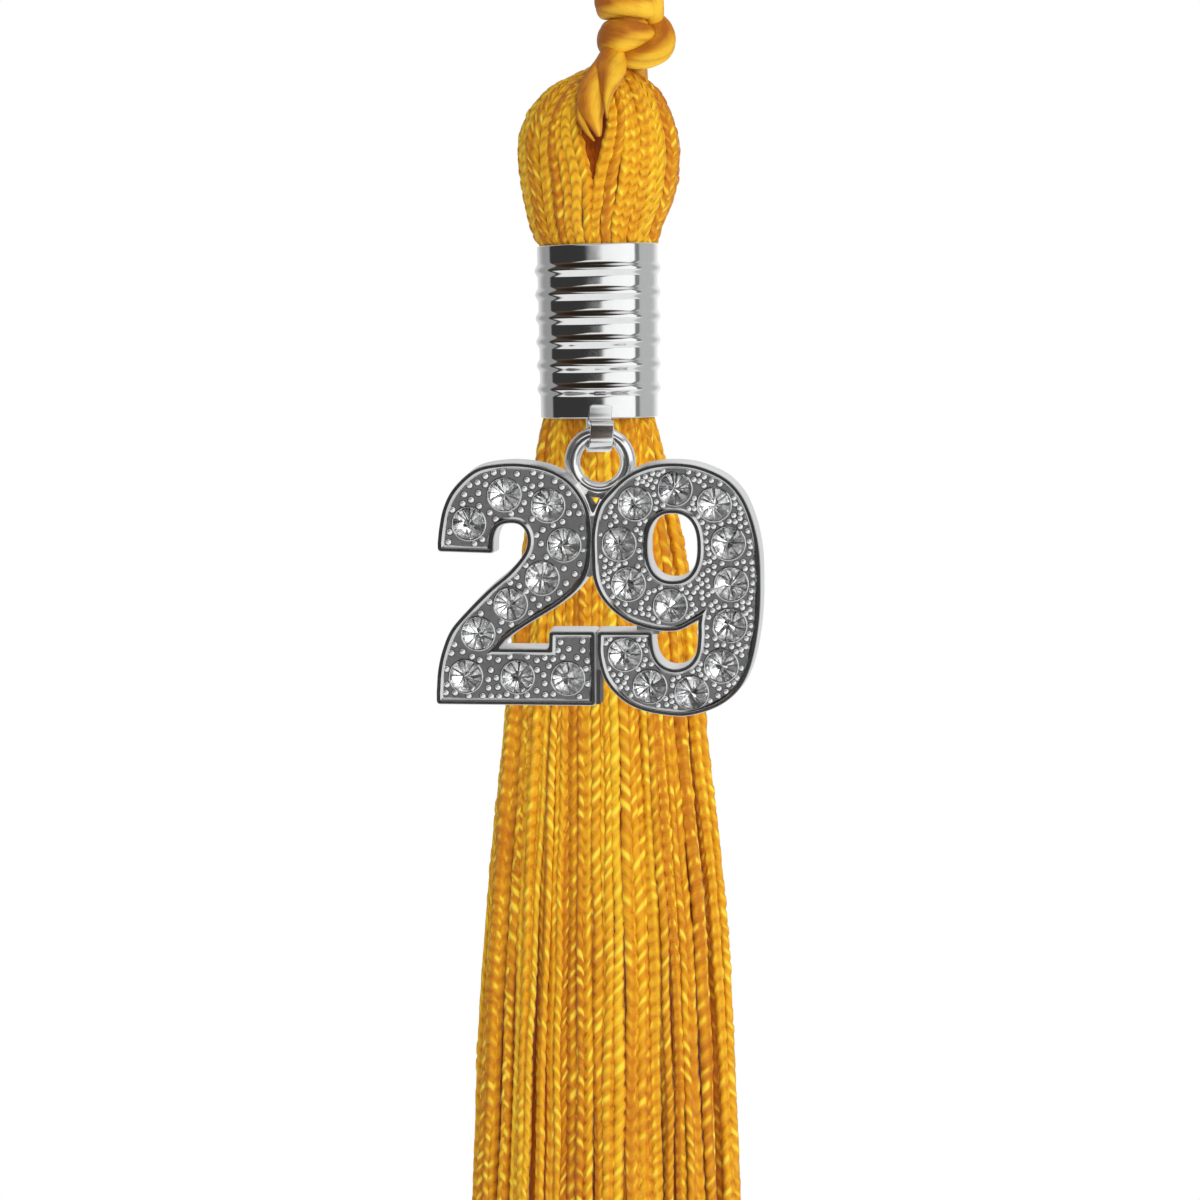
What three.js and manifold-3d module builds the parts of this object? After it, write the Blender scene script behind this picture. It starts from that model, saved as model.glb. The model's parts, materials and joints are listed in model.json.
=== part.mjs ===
// A graduation tassel: yarn folded over a twisted cord and gathered in a ribbed ferrule, with a cast
// charm of two numerals, set with rhinestones, that hangs from the ferrule on a strip bail.
// Millimetres, +Z up. The origin is the top of the hanging loop, and the front faces -Y.
import * as THREE from 'three';
import { mergeVertices } from 'three/addons/utils/BufferGeometryUtils.js';
import Module from 'manifold-3d';

const wasm = await Module();
wasm.setup();

// Driving sizes
const GAP = 0.3;
const HEAD_TOP = -112;
const TASSEL_LENGTH = 229;
const HEAD_DROP = 19.2;

const CORD = { radius: 1.6, plies: 3, lobe: 0.12, lay: 18, step: 2.2, sidesPerPly: 3 };

const FERRULE = {
  height: 18.2, topRadius: 6.4, bottomRadius: 6.2, wall: 0.37, sectors: 28,
  ribs: 6, firstRib: 2.6, ribPitch: 2.51, ribRise: 0.3, ribFoot: 0.52, ribCrown: 0.2,
};
const FERRULE_TOP = HEAD_TOP - HEAD_DROP;
const FERRULE_BOTTOM = FERRULE_TOP - FERRULE.height;
const SKIRT_DROP = TASSEL_LENGTH - HEAD_DROP - FERRULE.height;

const RING = { meanRadius: 2.92, rodRadius: 0.75, rodSides: 8, sectors: 26 };
const HINGE = { forward: 8.6, belowRim: 1.8 };
const CHARM = {
  back: -0.75, web: 1.5, floor: 1.8, rimTop: 2.7, rimWidth: 0.55, roundStep: 1.5, overcut: 1,
  longestMitre: 1.8, lean: THREE.MathUtils.degToRad(3), turn: THREE.MathUtils.degToRad(7),
};
const STONE = { girdle: 1.72, table: 0.95, foot: 1.3, pavilion: 0.25, crown: 0.8, facets: 8 };
const BAIL = { width: 2.45, thickness: 0.5, samples: 30 };

// Outline of the yarn head: how far below its top, how far it reaches each way, and its ridges
const HEAD_ROWS = [
  { drop: 0, left: -0.2, right: 2.6, front: 1.2, back: 1.4, ridge: 0.05 },
  { drop: 0.8, left: -1.8, right: 3.8, front: 2.9, back: 3.1, ridge: 0.15 },
  { drop: 2.7, left: -5.3, right: 6.1, front: 5.2, back: 5.4, ridge: 0.25 },
  { drop: 4.6, left: -7.05, right: 7.25, front: 6.5, back: 6.6, ridge: 0.35 },
  { drop: 6.5, left: -8.1, right: 7.95, front: 7.2, back: 7.3, ridge: 0.35 },
  { drop: 8.8, left: -8.65, right: 8.4, front: 7.7, back: 7.7, ridge: 0.35 },
  { drop: 11.6, left: -8.5, right: 8.35, front: 7.8, back: 7.8, ridge: 0.35 },
  { drop: 14.6, left: -8.05, right: 7.75, front: 7.4, back: 7.4, ridge: 0.3 },
  { drop: 17.4, left: -7.15, right: 6.6, front: 6.6, back: 6.6, ridge: 0.25 },
  { drop: 18.9, left: -6.2, right: 6.1, front: 6.1, back: 6.1, ridge: 0.15 },
  { drop: 19.5, left: -5.55, right: 5.55, front: 5.5, back: 5.55, ridge: 0 },
  { drop: 31.5, left: -5.4, right: 5.4, front: 4.55, back: 5.4, ridge: 0 },
  { drop: 36.6, left: -5.4, right: 5.4, front: 4.55, back: 5.4, ridge: 0 },
];
const HEAD_RIDGES = 32;
// The yarns part at the front where the cord goes in
const PARTING = { drop: 9.4, reach: 3.6, angle: THREE.MathUtils.degToRad(-94), spread: 0.2, depth: 1.9 };

// Outline of the skirt's outer strands: how far below the ferrule, how far their centres reach, half
// the width of a strand, and how far the strands crowd from the sides towards the front and back
const SKIRT_ROWS = [
  { drop: -1.6, side: 4.85, front: 4.05, back: 4.85, drift: 0, half: 0.3, crowd: 0 },
  { drop: 0.3, side: 5.0, front: 4.15, back: 4.95, drift: 0, half: 0.3, crowd: 0 },
  { drop: 4.2, side: 6.3, front: 4.6, back: 5.8, drift: 0, half: 0.36, crowd: 0.04 },
  { drop: 14, side: 7.95, front: 4.6, back: 7.0, drift: 0.1, half: 0.42, crowd: 0.09 },
  { drop: 36, side: 10.8, front: 4.75, back: 8.4, drift: 0.3, half: 0.46, crowd: 0.12 },
  { drop: 80, side: 13.6, front: 7.1, back: 9.9, drift: 0.8, half: 0.58, crowd: 0.12 },
  { drop: SKIRT_DROP, side: 15.4, front: 9.4, back: 10.8, drift: 1.1, half: 0.58, crowd: 0.12 },
];
// Rings of strands from the outside in: how many, and how far out of the full reach
const STRAND_RINGS = [
  { count: 32, reach: 1 },
  { count: 25, reach: 0.78 },
  { count: 17, reach: 0.56 },
  { count: 10, reach: 0.34 },
  { count: 4, reach: 0.13 },
];
const STRAND = { sides: 4, unevenEnd: 1.3, wander: 0.2, wanderTurn: 2.4, endTurn: 1.7 };
const UPRIGHT = new THREE.Vector3(0, 0, 1);

// The free loop above the knot, from one leg round to the other: x, and height over the head's top
const LOOP_ROUTE = [
  [1.5, 8.3], [1.3, 14], [0.2, 26], [-1.9, 42], [-3.9, 58], [-5.6, 74], [-6.8, 88], [-7.1, 98],
  [-5.6, 105.6], [-2.6, 109.7], [0, 110.4], [2.6, 109.7], [5.6, 105.6], [7.1, 98], [6.9, 88],
  [6.5, 74], [6.0, 58], [5.6, 42], [5.3, 26], [5.2, 14], [5.1, 8.3],
];

// The knot under the loop: each stretch's route (x, y, height over the head's top), and its radii
const KNOT_STRETCHES = [
  { name: 'core', radii: [2.1, 2.4, 2.3], sides: 8, steps: 5,
    route: [[2.6, -0.2, -0.6], [3.1, 0, 4], [3.3, 0, 8]] },
  { name: 'front leg', radii: [1.5, 1.65, 1.6, 1.5, 0.7], sides: 9, steps: 11,
    route: [[2.0, -1.2, 1.8], [1.5, -4.3, -1.2], [0.7, -7.3, -4.2], [0, -8.6, -6.4], [-0.8, -7.6, -9.2]] },
  { name: 'back leg', radii: [1.5, 1.6, 1.5, 1.3, 0.7], sides: 9, steps: 11,
    route: [[3.3, 1.2, 1.8], [3.9, 4.3, -0.8], [3.2, 7.3, -4.0], [2.4, 9.0, -6.8], [1.6, 8.2, -9.2]] },
  { name: 'right lobe', radii: [1.2, 1.5, 1.55, 1.4, 1.1], sides: 8, steps: 9,
    route: [[5.2, 0.8, 5.6], [6.7, -0.3, 3.6], [6.1, -1.5, 1.6], [4.3, -2.2, 0.9], [2.4, -1.7, 1.6]] },
];
const KNOT_WRAPS = [
  { name: 'upper wrap', centre: [3.3, 0, 6.3], reach: [2.55, 2.1], tall: 1.55, thick: 1.25, tilt: -0.05 },
  { name: 'middle wrap', centre: [2.85, -0.3, 2.9], reach: [1.9, 2.2], tall: 1.9, thick: 1.15, tilt: 0.16 },
];
const WRAP = { sides: 8, sectors: 20, section: 0.5 };

// The numerals, in the plane of the charm: x and y in mm from the middle of its ring.
// A round stretch is a curve through its points, and a straight one is drawn from point to point.
const TWO_OUTLINE = [
  { round: false, points: [[-16.8, -8.95], [-10.9, -9.1]] },
  { round: true, points: [[-10.9, -8.3], [-10.8, -7.3], [-10.3, -6.3], [-9.2, -5.95], [-8.1, -6.15],
    [-7.4, -7.2], [-7.55, -8.7], [-9.1, -10.8], [-11.4, -12.8], [-13.7, -15.1], [-15.5, -17.2],
    [-16.4, -19.3], [-16.9, -21.4], [-17.1, -23.8]] },
  { round: false, points: [[-17.1, -25.05], [-0.3, -25], [-0.3, -17.15], [-5.15, -17.2], [-5.2, -19.05],
    [-10.4, -19.05]] },
  { round: true, points: [[-9.7, -18.2], [-8.7, -17.4], [-6.7, -16.1], [-4, -14.4], [-1.95, -12.6],
    [-1, -11], [-0.65, -8.6], [-0.7, -5.5], [-1.3, -3.5], [-2.8, -1.55], [-4.9, -0.35], [-7.5, 0.2],
    [-10.1, 0.2], [-12.7, -0.4], [-15.1, -2.5], [-16.15, -4.4], [-16.6, -6.4], [-16.8, -8]] },
];
const NINE_OUTLINE = [
  { round: true, points: [[10.4, -16], [10.4, -17.7], [10.1, -19.6], [9.3, -20.6], [8, -21],
    [6.75, -20.6], [6, -19.6], [5.7, -18.2], [5.65, -17.1]] },
  { round: true, points: [[-0.1, -17.15], [-0.1, -19.6], [0.6, -22.2], [2.25, -24.2], [4.3, -25.35],
    [7.5, -25.95], [9.6, -25.9], [12.7, -24.8], [14.7, -23.1], [15.8, -21], [16.7, -16.8],
    [16.95, -12.1], [16.65, -7.5], [15.3, -3.35], [13.55, -1.3], [10.7, 0], [8.2, 0.35], [5.5, 0.1],
    [3.2, -0.85], [1.35, -2.4], [0.1, -3.95], [-0.6, -6.55], [-0.65, -9.2], [-0.45, -11.8],
    [0.5, -13.9], [2.8, -15.95], [5.4, -16.9], [7.3, -17.1], [8.55, -16.95], [10.2, -16.1]] },
];
const BOWL_HOLE = { centre: [7.8, -8.3], halfWidth: 2.55, halfHeight: 3.47, corners: 24, squareness: 2.4 };
// Flat webs, lower than the numerals, that join them to each other
const WEBS = [
  [[-2.2, -2.6], [-0.85, -3.25], [-0.35, -4.25], [0.2, -3.35], [1.4, -3.2], [0.4, -8], [-0.2, -11.2],
    [-0.9, -11.5], [-1.6, -11.2], [-1.7, -7]],
  [[-0.7, -17.2], [0.3, -17.2], [0.3, -21.25], [-0.7, -21.25]],
  [[3.95, -16.2], [6.3, -16.9], [6.3, -17.5], [3.95, -17.5]],
];
const TWO_STONES = [
  [-9.75, -2.95], [-5.2, -4.05], [-13.5, -6], [-3.55, -8.15], [-5.85, -11.65],
  [-9.2, -14.4], [-12.65, -17.55], [-14, -22.05], [-8.55, -22.05], [-3.25, -22.15],
];
const NINE_STONES = [
  [3.9, -3.8], [8.05, -2.25], [12.1, -3.85], [2.2, -8], [13.55, -7.85],
  [3.15, -12.2], [13.85, -12.1], [7.5, -14.4], [13.7, -16.4], [2.75, -19.55],
  [12.8, -20.65], [5.35, -22.9], [9.7, -23.5],
];

// The strip's middle line, from its end on the ferrule's face round the ring's rod and up inside:
// how far in front of the rod's centre, and how far above it
const BAIL_ROUTE = [
  [-1.83, 3.2], [-1.83, 2.5], [-1.2, 2], [0.2, 1.62], [1.06, 1.06], [1.5, 0], [1.06, -1.06],
  [0, -1.5], [-1.06, -1.06], [-1.5, 0], [-2.35, 0.85], [-3.15, 1.7], [-3.35, 2.7], [-3.35, 4.7],
];

// Colours and finishes
const YARN = new THREE.MeshStandardMaterial({ name: 'yarn', color: 0xe8a41c, roughness: 0.45 });
const CORD_FINISH = new THREE.MeshStandardMaterial({ name: 'cord', color: 0xefab1e, roughness: 0.35 });
const CHROME = new THREE.MeshStandardMaterial({
  name: 'chrome', color: 0xd4d7da, roughness: 0.12, metalness: 1,
});
const CASTING = new THREE.MeshStandardMaterial({
  name: 'casting', color: 0x9a9da0, roughness: 0.25, metalness: 1,
});
const CRYSTAL = new THREE.MeshStandardMaterial({ name: 'crystal', color: 0xf2f4f6, roughness: 0.03 });

/** A solid for joining and cutting, from a closed geometry. */
function solidOf(geometry) {
  const plain = geometry.clone();
  for (const name of Object.keys(plain.attributes)) {
    if (name !== 'position') plain.deleteAttribute(name);
  }
  const merged = mergeVertices(plain);
  return new wasm.Manifold(new wasm.Mesh({
    numProp: 3,
    vertProperties: new Float32Array(merged.attributes.position.array),
    triVerts: new Uint32Array(merged.index.array),
  }));
}

/** The geometry of a solid. */
function geometryOf(solid) {
  const { vertProperties, triVerts } = solid.getMesh();
  const geometry = new THREE.BufferGeometry();
  geometry.setAttribute('position', new THREE.BufferAttribute(new Float32Array(vertProperties), 3));
  geometry.setIndex(new THREE.BufferAttribute(new Uint32Array(triVerts), 1));
  geometry.computeVertexNormals();
  return geometry;
}

/** One solid of several overlapping geometries. */
function joined(geometries) {
  return geometries.map(solidOf).reduce((whole, solid) => whole.add(solid));
}

/** A named mesh. */
function piece(name, geometry, material) {
  const mesh = new THREE.Mesh(geometry, material);
  mesh.name = name;
  return mesh;
}

/** The row of a table at a given drop, worked out between the rows above and below it. */
function rowAt(rows, drop) {
  const last = rows.length - 1;
  const above = Math.max(0, Math.min(last - 1, rows.findIndex((row) => row.drop > drop) - 1));
  const [from, to] = drop >= rows[last].drop ? [rows[last - 1], rows[last]] : [rows[above], rows[above + 1]];
  const share = (drop - from.drop) / (to.drop - from.drop);
  return Object.fromEntries(Object.keys(from).map((key) => [key, from[key] + (to[key] - from[key]) * share]));
}

/** A closed column of rings, from the top down. place() moves each point from its unit circle. */
function column(rings, sides, place) {
  const steps = rings - 1;
  const geometry = new THREE.CylinderGeometry(1, 1, steps, sides, steps).rotateX(Math.PI / 2);
  const { position } = geometry.attributes;
  const point = new THREE.Vector3();
  for (let i = 0; i < position.count; i++) {
    point.fromBufferAttribute(position, i);
    place(point, Math.round(steps / 2 - point.z));
    position.setXYZ(i, point.x, point.y, point.z);
  }
  return geometry;
}

/** A closed tube along a curve. sectionAt(share, angle) gives its radius and how far it is turned. */
function tube(curve, steps, sides, sectionAt) {
  const frames = curve.computeFrenetFrames(steps);
  return column(steps + 1, sides, (point, ring) => {
    const angle = Math.atan2(point.y, point.x);
    const { radius, turned } = sectionAt(ring / steps, angle);
    const reach = Math.hypot(point.x, point.y) * radius;
    point.copy(curve.getPointAt(ring / steps))
      .addScaledVector(frames.normals[ring], reach * Math.cos(angle + turned))
      .addScaledVector(frames.binormals[ring], -reach * Math.sin(angle + turned));
  });
}

/** The section of a twisted cord of a given radius, at a length along it. */
function ropeSection(radius, length, angle) {
  return {
    radius: radius * (1 - CORD.lobe + CORD.lobe * Math.cos(CORD.plies * angle)),
    turned: (length / CORD.lay) * 2 * Math.PI,
  };
}

/** The folded yarns over the cord, with the neck that the ferrule grips. */
function yarnHead() {
  return column(HEAD_ROWS.length, HEAD_RIDGES * 2, (point, ring) => {
    const row = HEAD_ROWS[ring];
    const angle = Math.atan2(point.y, point.x);
    const inward = Math.hypot(point.x, point.y);
    const groove = Math.round(((angle / Math.PI) * HEAD_RIDGES)) % 2 === 0 ? 0 : row.ridge;
    const middle = (row.left + row.right) / 2;
    const side = (row.right - row.left) / 2;
    const depth = point.y < 0 ? row.front : row.back;
    const across = (angle - PARTING.angle) / PARTING.spread;
    const along = (row.drop - PARTING.drop) / PARTING.reach;
    const parting = PARTING.depth * Math.exp(-across * across - along * along);
    const cut = (groove + parting) * inward;
    point.set(
      middle + point.x * side - Math.cos(angle) * cut,
      point.y * depth - Math.sin(angle) * cut,
      HEAD_TOP - row.drop,
    );
  });
}

/** One strand of the skirt, four-sided, from inside the neck to its own end. */
function strand(ring, level, number) {
  const serial = number * STRAND_RINGS.length + level;
  const even = ((number + level / 2) / ring.count) * 2 * Math.PI;
  const lean = STRAND.wander * Math.sin(serial * STRAND.wanderTurn);
  const last = SKIRT_ROWS.length - 1;
  return column(SKIRT_ROWS.length, STRAND.sides, (point, index) => {
    const row = SKIRT_ROWS[index];
    const angle = even + row.crowd * Math.sin(2 * even);
    const depth = Math.sin(angle) < 0 ? row.front : row.back;
    const share = index / last;
    const end = index === last ? STRAND.unevenEnd * Math.sin(serial * STRAND.endTurn) : 0;
    point.setZ(0).applyAxisAngle(UPRIGHT, angle + Math.PI / STRAND.sides);
    point.multiplyScalar(row.half * Math.SQRT2);
    point.x += row.drift + ring.reach * row.side * Math.cos(angle) + lean * share;
    point.y += ring.reach * depth * Math.sin(angle);
    point.z = FERRULE_BOTTOM - row.drop + end;
  });
}

/** The whole bundle of yarn: its folded head, pressed in by the cord, its neck and its strands. */
function yarnTassel() {
  const strands = STRAND_RINGS.flatMap((ring, level) => Array.from(
    { length: ring.count },
    (_, number) => strand(ring, level, number),
  ));
  const head = solidOf(yarnHead()).subtract(knotSolid(GAP));
  return piece('yarn_tassel', geometryOf(head.add(joined(strands))), YARN);
}

/** The ribbed tube that grips the neck, a little narrower at its foot. */
function ferrule() {
  const radiusAt = (drop) => FERRULE.topRadius
    + (FERRULE.bottomRadius - FERRULE.topRadius) * (drop / FERRULE.height);
  const outside = [[0, 0]];
  for (let rib = 0; rib < FERRULE.ribs; rib++) {
    const middle = FERRULE.firstRib + rib * FERRULE.ribPitch;
    outside.push(
      [middle - FERRULE.ribFoot, 0], [middle - FERRULE.ribCrown, FERRULE.ribRise],
      [middle + FERRULE.ribCrown, FERRULE.ribRise], [middle + FERRULE.ribFoot, 0],
    );
  }
  outside.push([FERRULE.height, 0]);
  const outer = outside.map(([drop, rise]) => new THREE.Vector2(radiusAt(drop) + rise, FERRULE_TOP - drop));
  const inner = [FERRULE.height, 0].map(
    (drop) => new THREE.Vector2(radiusAt(drop) - FERRULE.wall, FERRULE_TOP - drop),
  );
  const profile = [...outer, ...inner, outer[0].clone()].reverse();
  const geometry = new THREE.LatheGeometry(profile, FERRULE.sectors).rotateX(Math.PI / 2);
  return piece('ferrule', geometryOf(solidOf(geometry)), CHROME);
}

/** The strip that hooks the charm's ring to the ferrule. */
function bail() {
  const line = new THREE.SplineCurve(BAIL_ROUTE.map(([ahead, up]) => new THREE.Vector2(-ahead, up)));
  const sides = [BAIL.thickness / 2, -BAIL.thickness / 2].map((offset) => {
    const points = [];
    for (let i = 0; i <= BAIL.samples; i++) {
      const tangent = line.getTangent(i / BAIL.samples);
      const sideways = new THREE.Vector2(-tangent.y, tangent.x).multiplyScalar(offset);
      points.push(line.getPoint(i / BAIL.samples).add(sideways));
    }
    return points;
  });
  const shape = new THREE.Shape([...sides[0], ...sides[1].reverse()]);
  const geometry = new THREE.ExtrudeGeometry(shape, {
    depth: BAIL.width, bevelEnabled: false, curveSegments: 1,
  });
  geometry.translate(0, 0, -BAIL.width / 2).rotateX(Math.PI / 2).rotateZ(Math.PI / 2);
  const mesh = piece('bail', geometryOf(solidOf(geometry)), CHROME);
  mesh.position.set(0, -HINGE.forward, FERRULE_BOTTOM - HINGE.belowRim);
  return mesh;
}

/** A ring of cord that goes round the knot, flattened and tilted, grown by a margin. */
function wrap({ centre, reach, tall, thick, tilt }, margin) {
  const geometry = new THREE.TorusGeometry(1, WRAP.section, WRAP.sides, WRAP.sectors);
  const { position } = geometry.attributes;
  for (let i = 0; i < position.count; i++) {
    const [x, y] = [position.getX(i), position.getY(i)];
    const around = Math.atan2(y, x);
    const out = ((Math.hypot(x, y) - 1) / WRAP.section) * (thick + margin);
    const rise = (position.getZ(i) / WRAP.section) * (tall + margin);
    position.setXYZ(
      i,
      centre[0] + Math.cos(around) * (reach[0] + out),
      centre[1] + Math.sin(around) * (reach[1] + out),
      HEAD_TOP + centre[2] + rise + Math.cos(around) * reach[0] * tilt,
    );
  }
  return geometry;
}

/** The knot and the two legs of cord that go down into the yarn head, grown by a margin. */
function knotSolid(margin) {
  const stretches = KNOT_STRETCHES.map(({ radii, sides, steps, route }) => {
    const points = route.map(([x, y, up]) => new THREE.Vector3(x, y, HEAD_TOP + up));
    const curve = new THREE.CatmullRomCurve3(points);
    const length = curve.getLength();
    const last = radii.length - 1;
    const rows = radii.map((radius, index) => ({ drop: index / last, radius: radius + margin }));
    return tube(curve, steps, sides, (share, angle) => {
      const { radius } = rowAt(rows, share);
      return sides % CORD.plies === 0 ? ropeSection(radius, share * length, angle) : { radius, turned: 0 };
    });
  });
  return joined([...stretches, ...KNOT_WRAPS.map((row) => wrap(row, margin))]);
}

/** The free loop of twisted cord above the knot. */
function hangingLoop() {
  const points = LOOP_ROUTE.map(([x, up]) => new THREE.Vector3(x, 0, HEAD_TOP + up));
  const curve = new THREE.CatmullRomCurve3(points);
  const length = curve.getLength();
  const geometry = tube(
    curve,
    Math.round(length / CORD.step),
    CORD.plies * CORD.sidesPerPly,
    (share, angle) => ropeSection(CORD.radius, share * length, angle),
  );
  return piece('hanging_loop', geometryOf(solidOf(geometry)), CORD_FINISH);
}

/** The points of an outline that is made of round and straight stretches. */
function outlinePoints(stretches) {
  return stretches.flatMap(({ round, points }) => {
    const corners = points.map(([x, y]) => new THREE.Vector2(x, y));
    if (!round) return corners;
    const curve = new THREE.SplineCurve(corners);
    return curve.getSpacedPoints(Math.round(curve.getLength() / CHARM.roundStep));
  });
}

/** The points of the hole in the nine's bowl, grown by a margin. */
function bowlPoints(margin) {
  const { centre, halfWidth, halfHeight, corners, squareness } = BOWL_HOLE;
  const pull = (value) => Math.sign(value) * Math.abs(value) ** (2 / squareness);
  return Array.from({ length: corners }, (_, number) => {
    const angle = (number / corners) * 2 * Math.PI;
    return new THREE.Vector2(
      centre[0] + (halfWidth + margin) * pull(Math.cos(angle)),
      centre[1] + (halfHeight + margin) * pull(Math.sin(angle)),
    );
  });
}

/** An outline drawn in by a margin on every side. */
function drawnIn(points, margin) {
  const inward = THREE.ShapeUtils.isClockWise(points) ? -1 : 1;
  return points.map((point, index) => {
    const before = point.clone().sub(points.at(index - 1)).normalize();
    const after = points[(index + 1) % points.length].clone().sub(point).normalize();
    const normal = new THREE.Vector2(-before.y - after.y, before.x + after.x).normalize();
    const mitre = 1 / normal.dot(new THREE.Vector2(-after.y, after.x));
    return point.clone().addScaledVector(normal, inward * margin * Math.min(mitre, CHARM.longestMitre));
  });
}

/** A slab of an outline between two levels of the charm. */
function slab(points, from, to) {
  const geometry = new THREE.ExtrudeGeometry(new THREE.Shape(points), {
    depth: to - from, bevelEnabled: false, curveSegments: 1,
  });
  return solidOf(geometry.translate(0, 0, from));
}

/** The cast plate: two numerals with raised rims, the webs between them and the ring on top. */
function charmPlate() {
  const two = outlinePoints(TWO_OUTLINE);
  const nine = outlinePoints(NINE_OUTLINE);
  const over = CHARM.rimTop + CHARM.overcut;
  const floorOf = (points) => slab(drawnIn(points, CHARM.rimWidth), CHARM.floor, over);
  const ring = solidOf(new THREE.TorusGeometry(RING.meanRadius, RING.rodRadius, RING.rodSides, RING.sectors));
  const webs = WEBS.map((corners) => {
    const points = corners.map(([x, y]) => new THREE.Vector2(x, y));
    return slab(points, CHARM.back, CHARM.web);
  });
  const numerals = slab(two, CHARM.back, CHARM.rimTop).add(slab(nine, CHARM.back, CHARM.rimTop))
    .subtract(floorOf(two))
    .subtract(floorOf(nine).subtract(slab(bowlPoints(CHARM.rimWidth), CHARM.back, over)))
    .subtract(slab(bowlPoints(0), CHARM.back - CHARM.overcut, over));
  const plate = webs.reduce((whole, web) => whole.add(web), numerals).add(ring);
  return piece('charm_plate', geometryOf(plate), CASTING);
}

/** One rhinestone, standing in its seat on a numeral's floor. */
function rhinestone(name, [x, y]) {
  const foot = CHARM.floor + GAP;
  const girdle = foot + STONE.pavilion;
  const profile = [
    new THREE.Vector2(0, foot), new THREE.Vector2(STONE.foot, foot), new THREE.Vector2(STONE.girdle, girdle),
    new THREE.Vector2(STONE.table, foot + STONE.crown), new THREE.Vector2(0, foot + STONE.crown),
  ];
  const geometry = new THREE.LatheGeometry(profile, STONE.facets).rotateX(Math.PI / 2);
  const stone = piece(name, geometryOf(solidOf(geometry)), CRYSTAL);
  stone.position.set(x, y, 0);
  return stone;
}

/** The charm on its ring, leaning and turned as it hangs. */
function charm() {
  const laid = new THREE.Group();
  laid.position.y = -RING.meanRadius;
  laid.add(
    charmPlate(),
    ...TWO_STONES.map((place, index) => rhinestone(`two_stone_${index + 1}`, place)),
    ...NINE_STONES.map((place, index) => rhinestone(`nine_stone_${index + 1}`, place)),
  );
  const hung = new THREE.Group();
  hung.rotation.x = Math.PI / 2 + CHARM.lean;
  hung.add(laid);
  const turned = new THREE.Group();
  turned.position.set(0, -HINGE.forward, FERRULE_BOTTOM - HINGE.belowRim);
  turned.rotation.z = -CHARM.turn;
  turned.add(hung);
  return turned;
}

const tassel = new THREE.Group();
tassel.add(
  yarnTassel(),
  ferrule(),
  bail(),
  piece('cord_knot', geometryOf(knotSolid(0)), CORD_FINISH),
  hangingLoop(),
  charm(),
);

export default tassel;
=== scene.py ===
"""A graduation tassel: golden chain yarn in a ribbed chrome ferrule, hung by a knotted satin cord, with a
cast charm of two numerals set with rhinestones. Lengths are in metres, +Z is up and the front faces -Y."""

from __future__ import annotations

import json
import logging
import math
from dataclasses import dataclass, field, replace
from enum import Enum, IntEnum
from typing import Any, NamedTuple, Sequence

import bpy
import numpy as np
from mathutils import Matrix, Vector
from mathutils.geometry import tessellate_polygon

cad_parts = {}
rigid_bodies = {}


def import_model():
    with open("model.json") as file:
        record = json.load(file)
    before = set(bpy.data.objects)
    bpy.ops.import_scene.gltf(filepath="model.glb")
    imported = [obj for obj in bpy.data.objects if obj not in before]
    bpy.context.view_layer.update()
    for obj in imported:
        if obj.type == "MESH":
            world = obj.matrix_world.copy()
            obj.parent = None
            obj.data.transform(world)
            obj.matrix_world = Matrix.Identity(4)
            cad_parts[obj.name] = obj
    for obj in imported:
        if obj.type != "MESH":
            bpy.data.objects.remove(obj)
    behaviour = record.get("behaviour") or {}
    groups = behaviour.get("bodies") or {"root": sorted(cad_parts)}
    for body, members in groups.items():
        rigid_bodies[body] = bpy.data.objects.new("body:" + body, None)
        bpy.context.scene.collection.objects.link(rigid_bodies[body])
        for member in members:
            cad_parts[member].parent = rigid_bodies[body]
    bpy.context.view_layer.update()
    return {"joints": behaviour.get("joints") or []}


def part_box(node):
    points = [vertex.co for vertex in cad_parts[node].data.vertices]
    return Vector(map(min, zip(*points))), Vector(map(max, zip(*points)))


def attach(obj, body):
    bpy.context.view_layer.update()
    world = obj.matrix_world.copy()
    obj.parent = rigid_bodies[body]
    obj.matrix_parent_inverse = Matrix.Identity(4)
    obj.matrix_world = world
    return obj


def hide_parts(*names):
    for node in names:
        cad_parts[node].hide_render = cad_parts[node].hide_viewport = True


LOG = logging.getLogger("tassel")
MM = 0.001
TURN = 2 * math.pi
LAY_MAP = "Lay"
BAKE_MAP = "OFBake"
GOLDEN_SHEEN = (1.0, 0.8, 0.35, 1.0)
# The picture's middle is this far under the top of the yarn.
MIDDLE_DROP = 56.9 * MM
# A Mix node's sockets for colours go by number.
MIX_SOCKETS, MIX_RESULT = (0, 6, 7), 2
# How many points a smooth line has between two of the points that it is given.
ROUTE_STEPS = 24
# Where an outline turns by more than this, in degrees, it has a corner.
CORNER_TURN = 30
LONGEST_MITRE = 2.6
ROUND_POINTS = 5
LONGEST_ROUND = 0.45
LEAST_AREA = 1e-9

Colour = Triple = tuple[float, float, float]
Pair = tuple[float, float]
Array = np.ndarray
Rng = np.random.Generator
Material = bpy.types.Material


class Body(str, Enum):
    """The moving bodies of the tassel."""

    TASSEL = "tassel"
    CHARM = "charm"


class Slot(str, Enum):
    """The record's material slots."""

    YARN = "yarn"
    CORD = "cord"
    CHROME = "chrome"
    CASTING = "casting"
    CRYSTAL = "crystal"


class Worn(IntEnum):
    """The finishes of the cast plate, by number."""

    PLATING = 0
    FLOOR = 1
    WALL = 2
    BEAD = 3
    # Painted shade, near black.
    PAINTED_SHADE = 4
    RING = 5
    # A painted highlight.
    NOTCH_HIGHLIGHT = 6


# Shader maths


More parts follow.
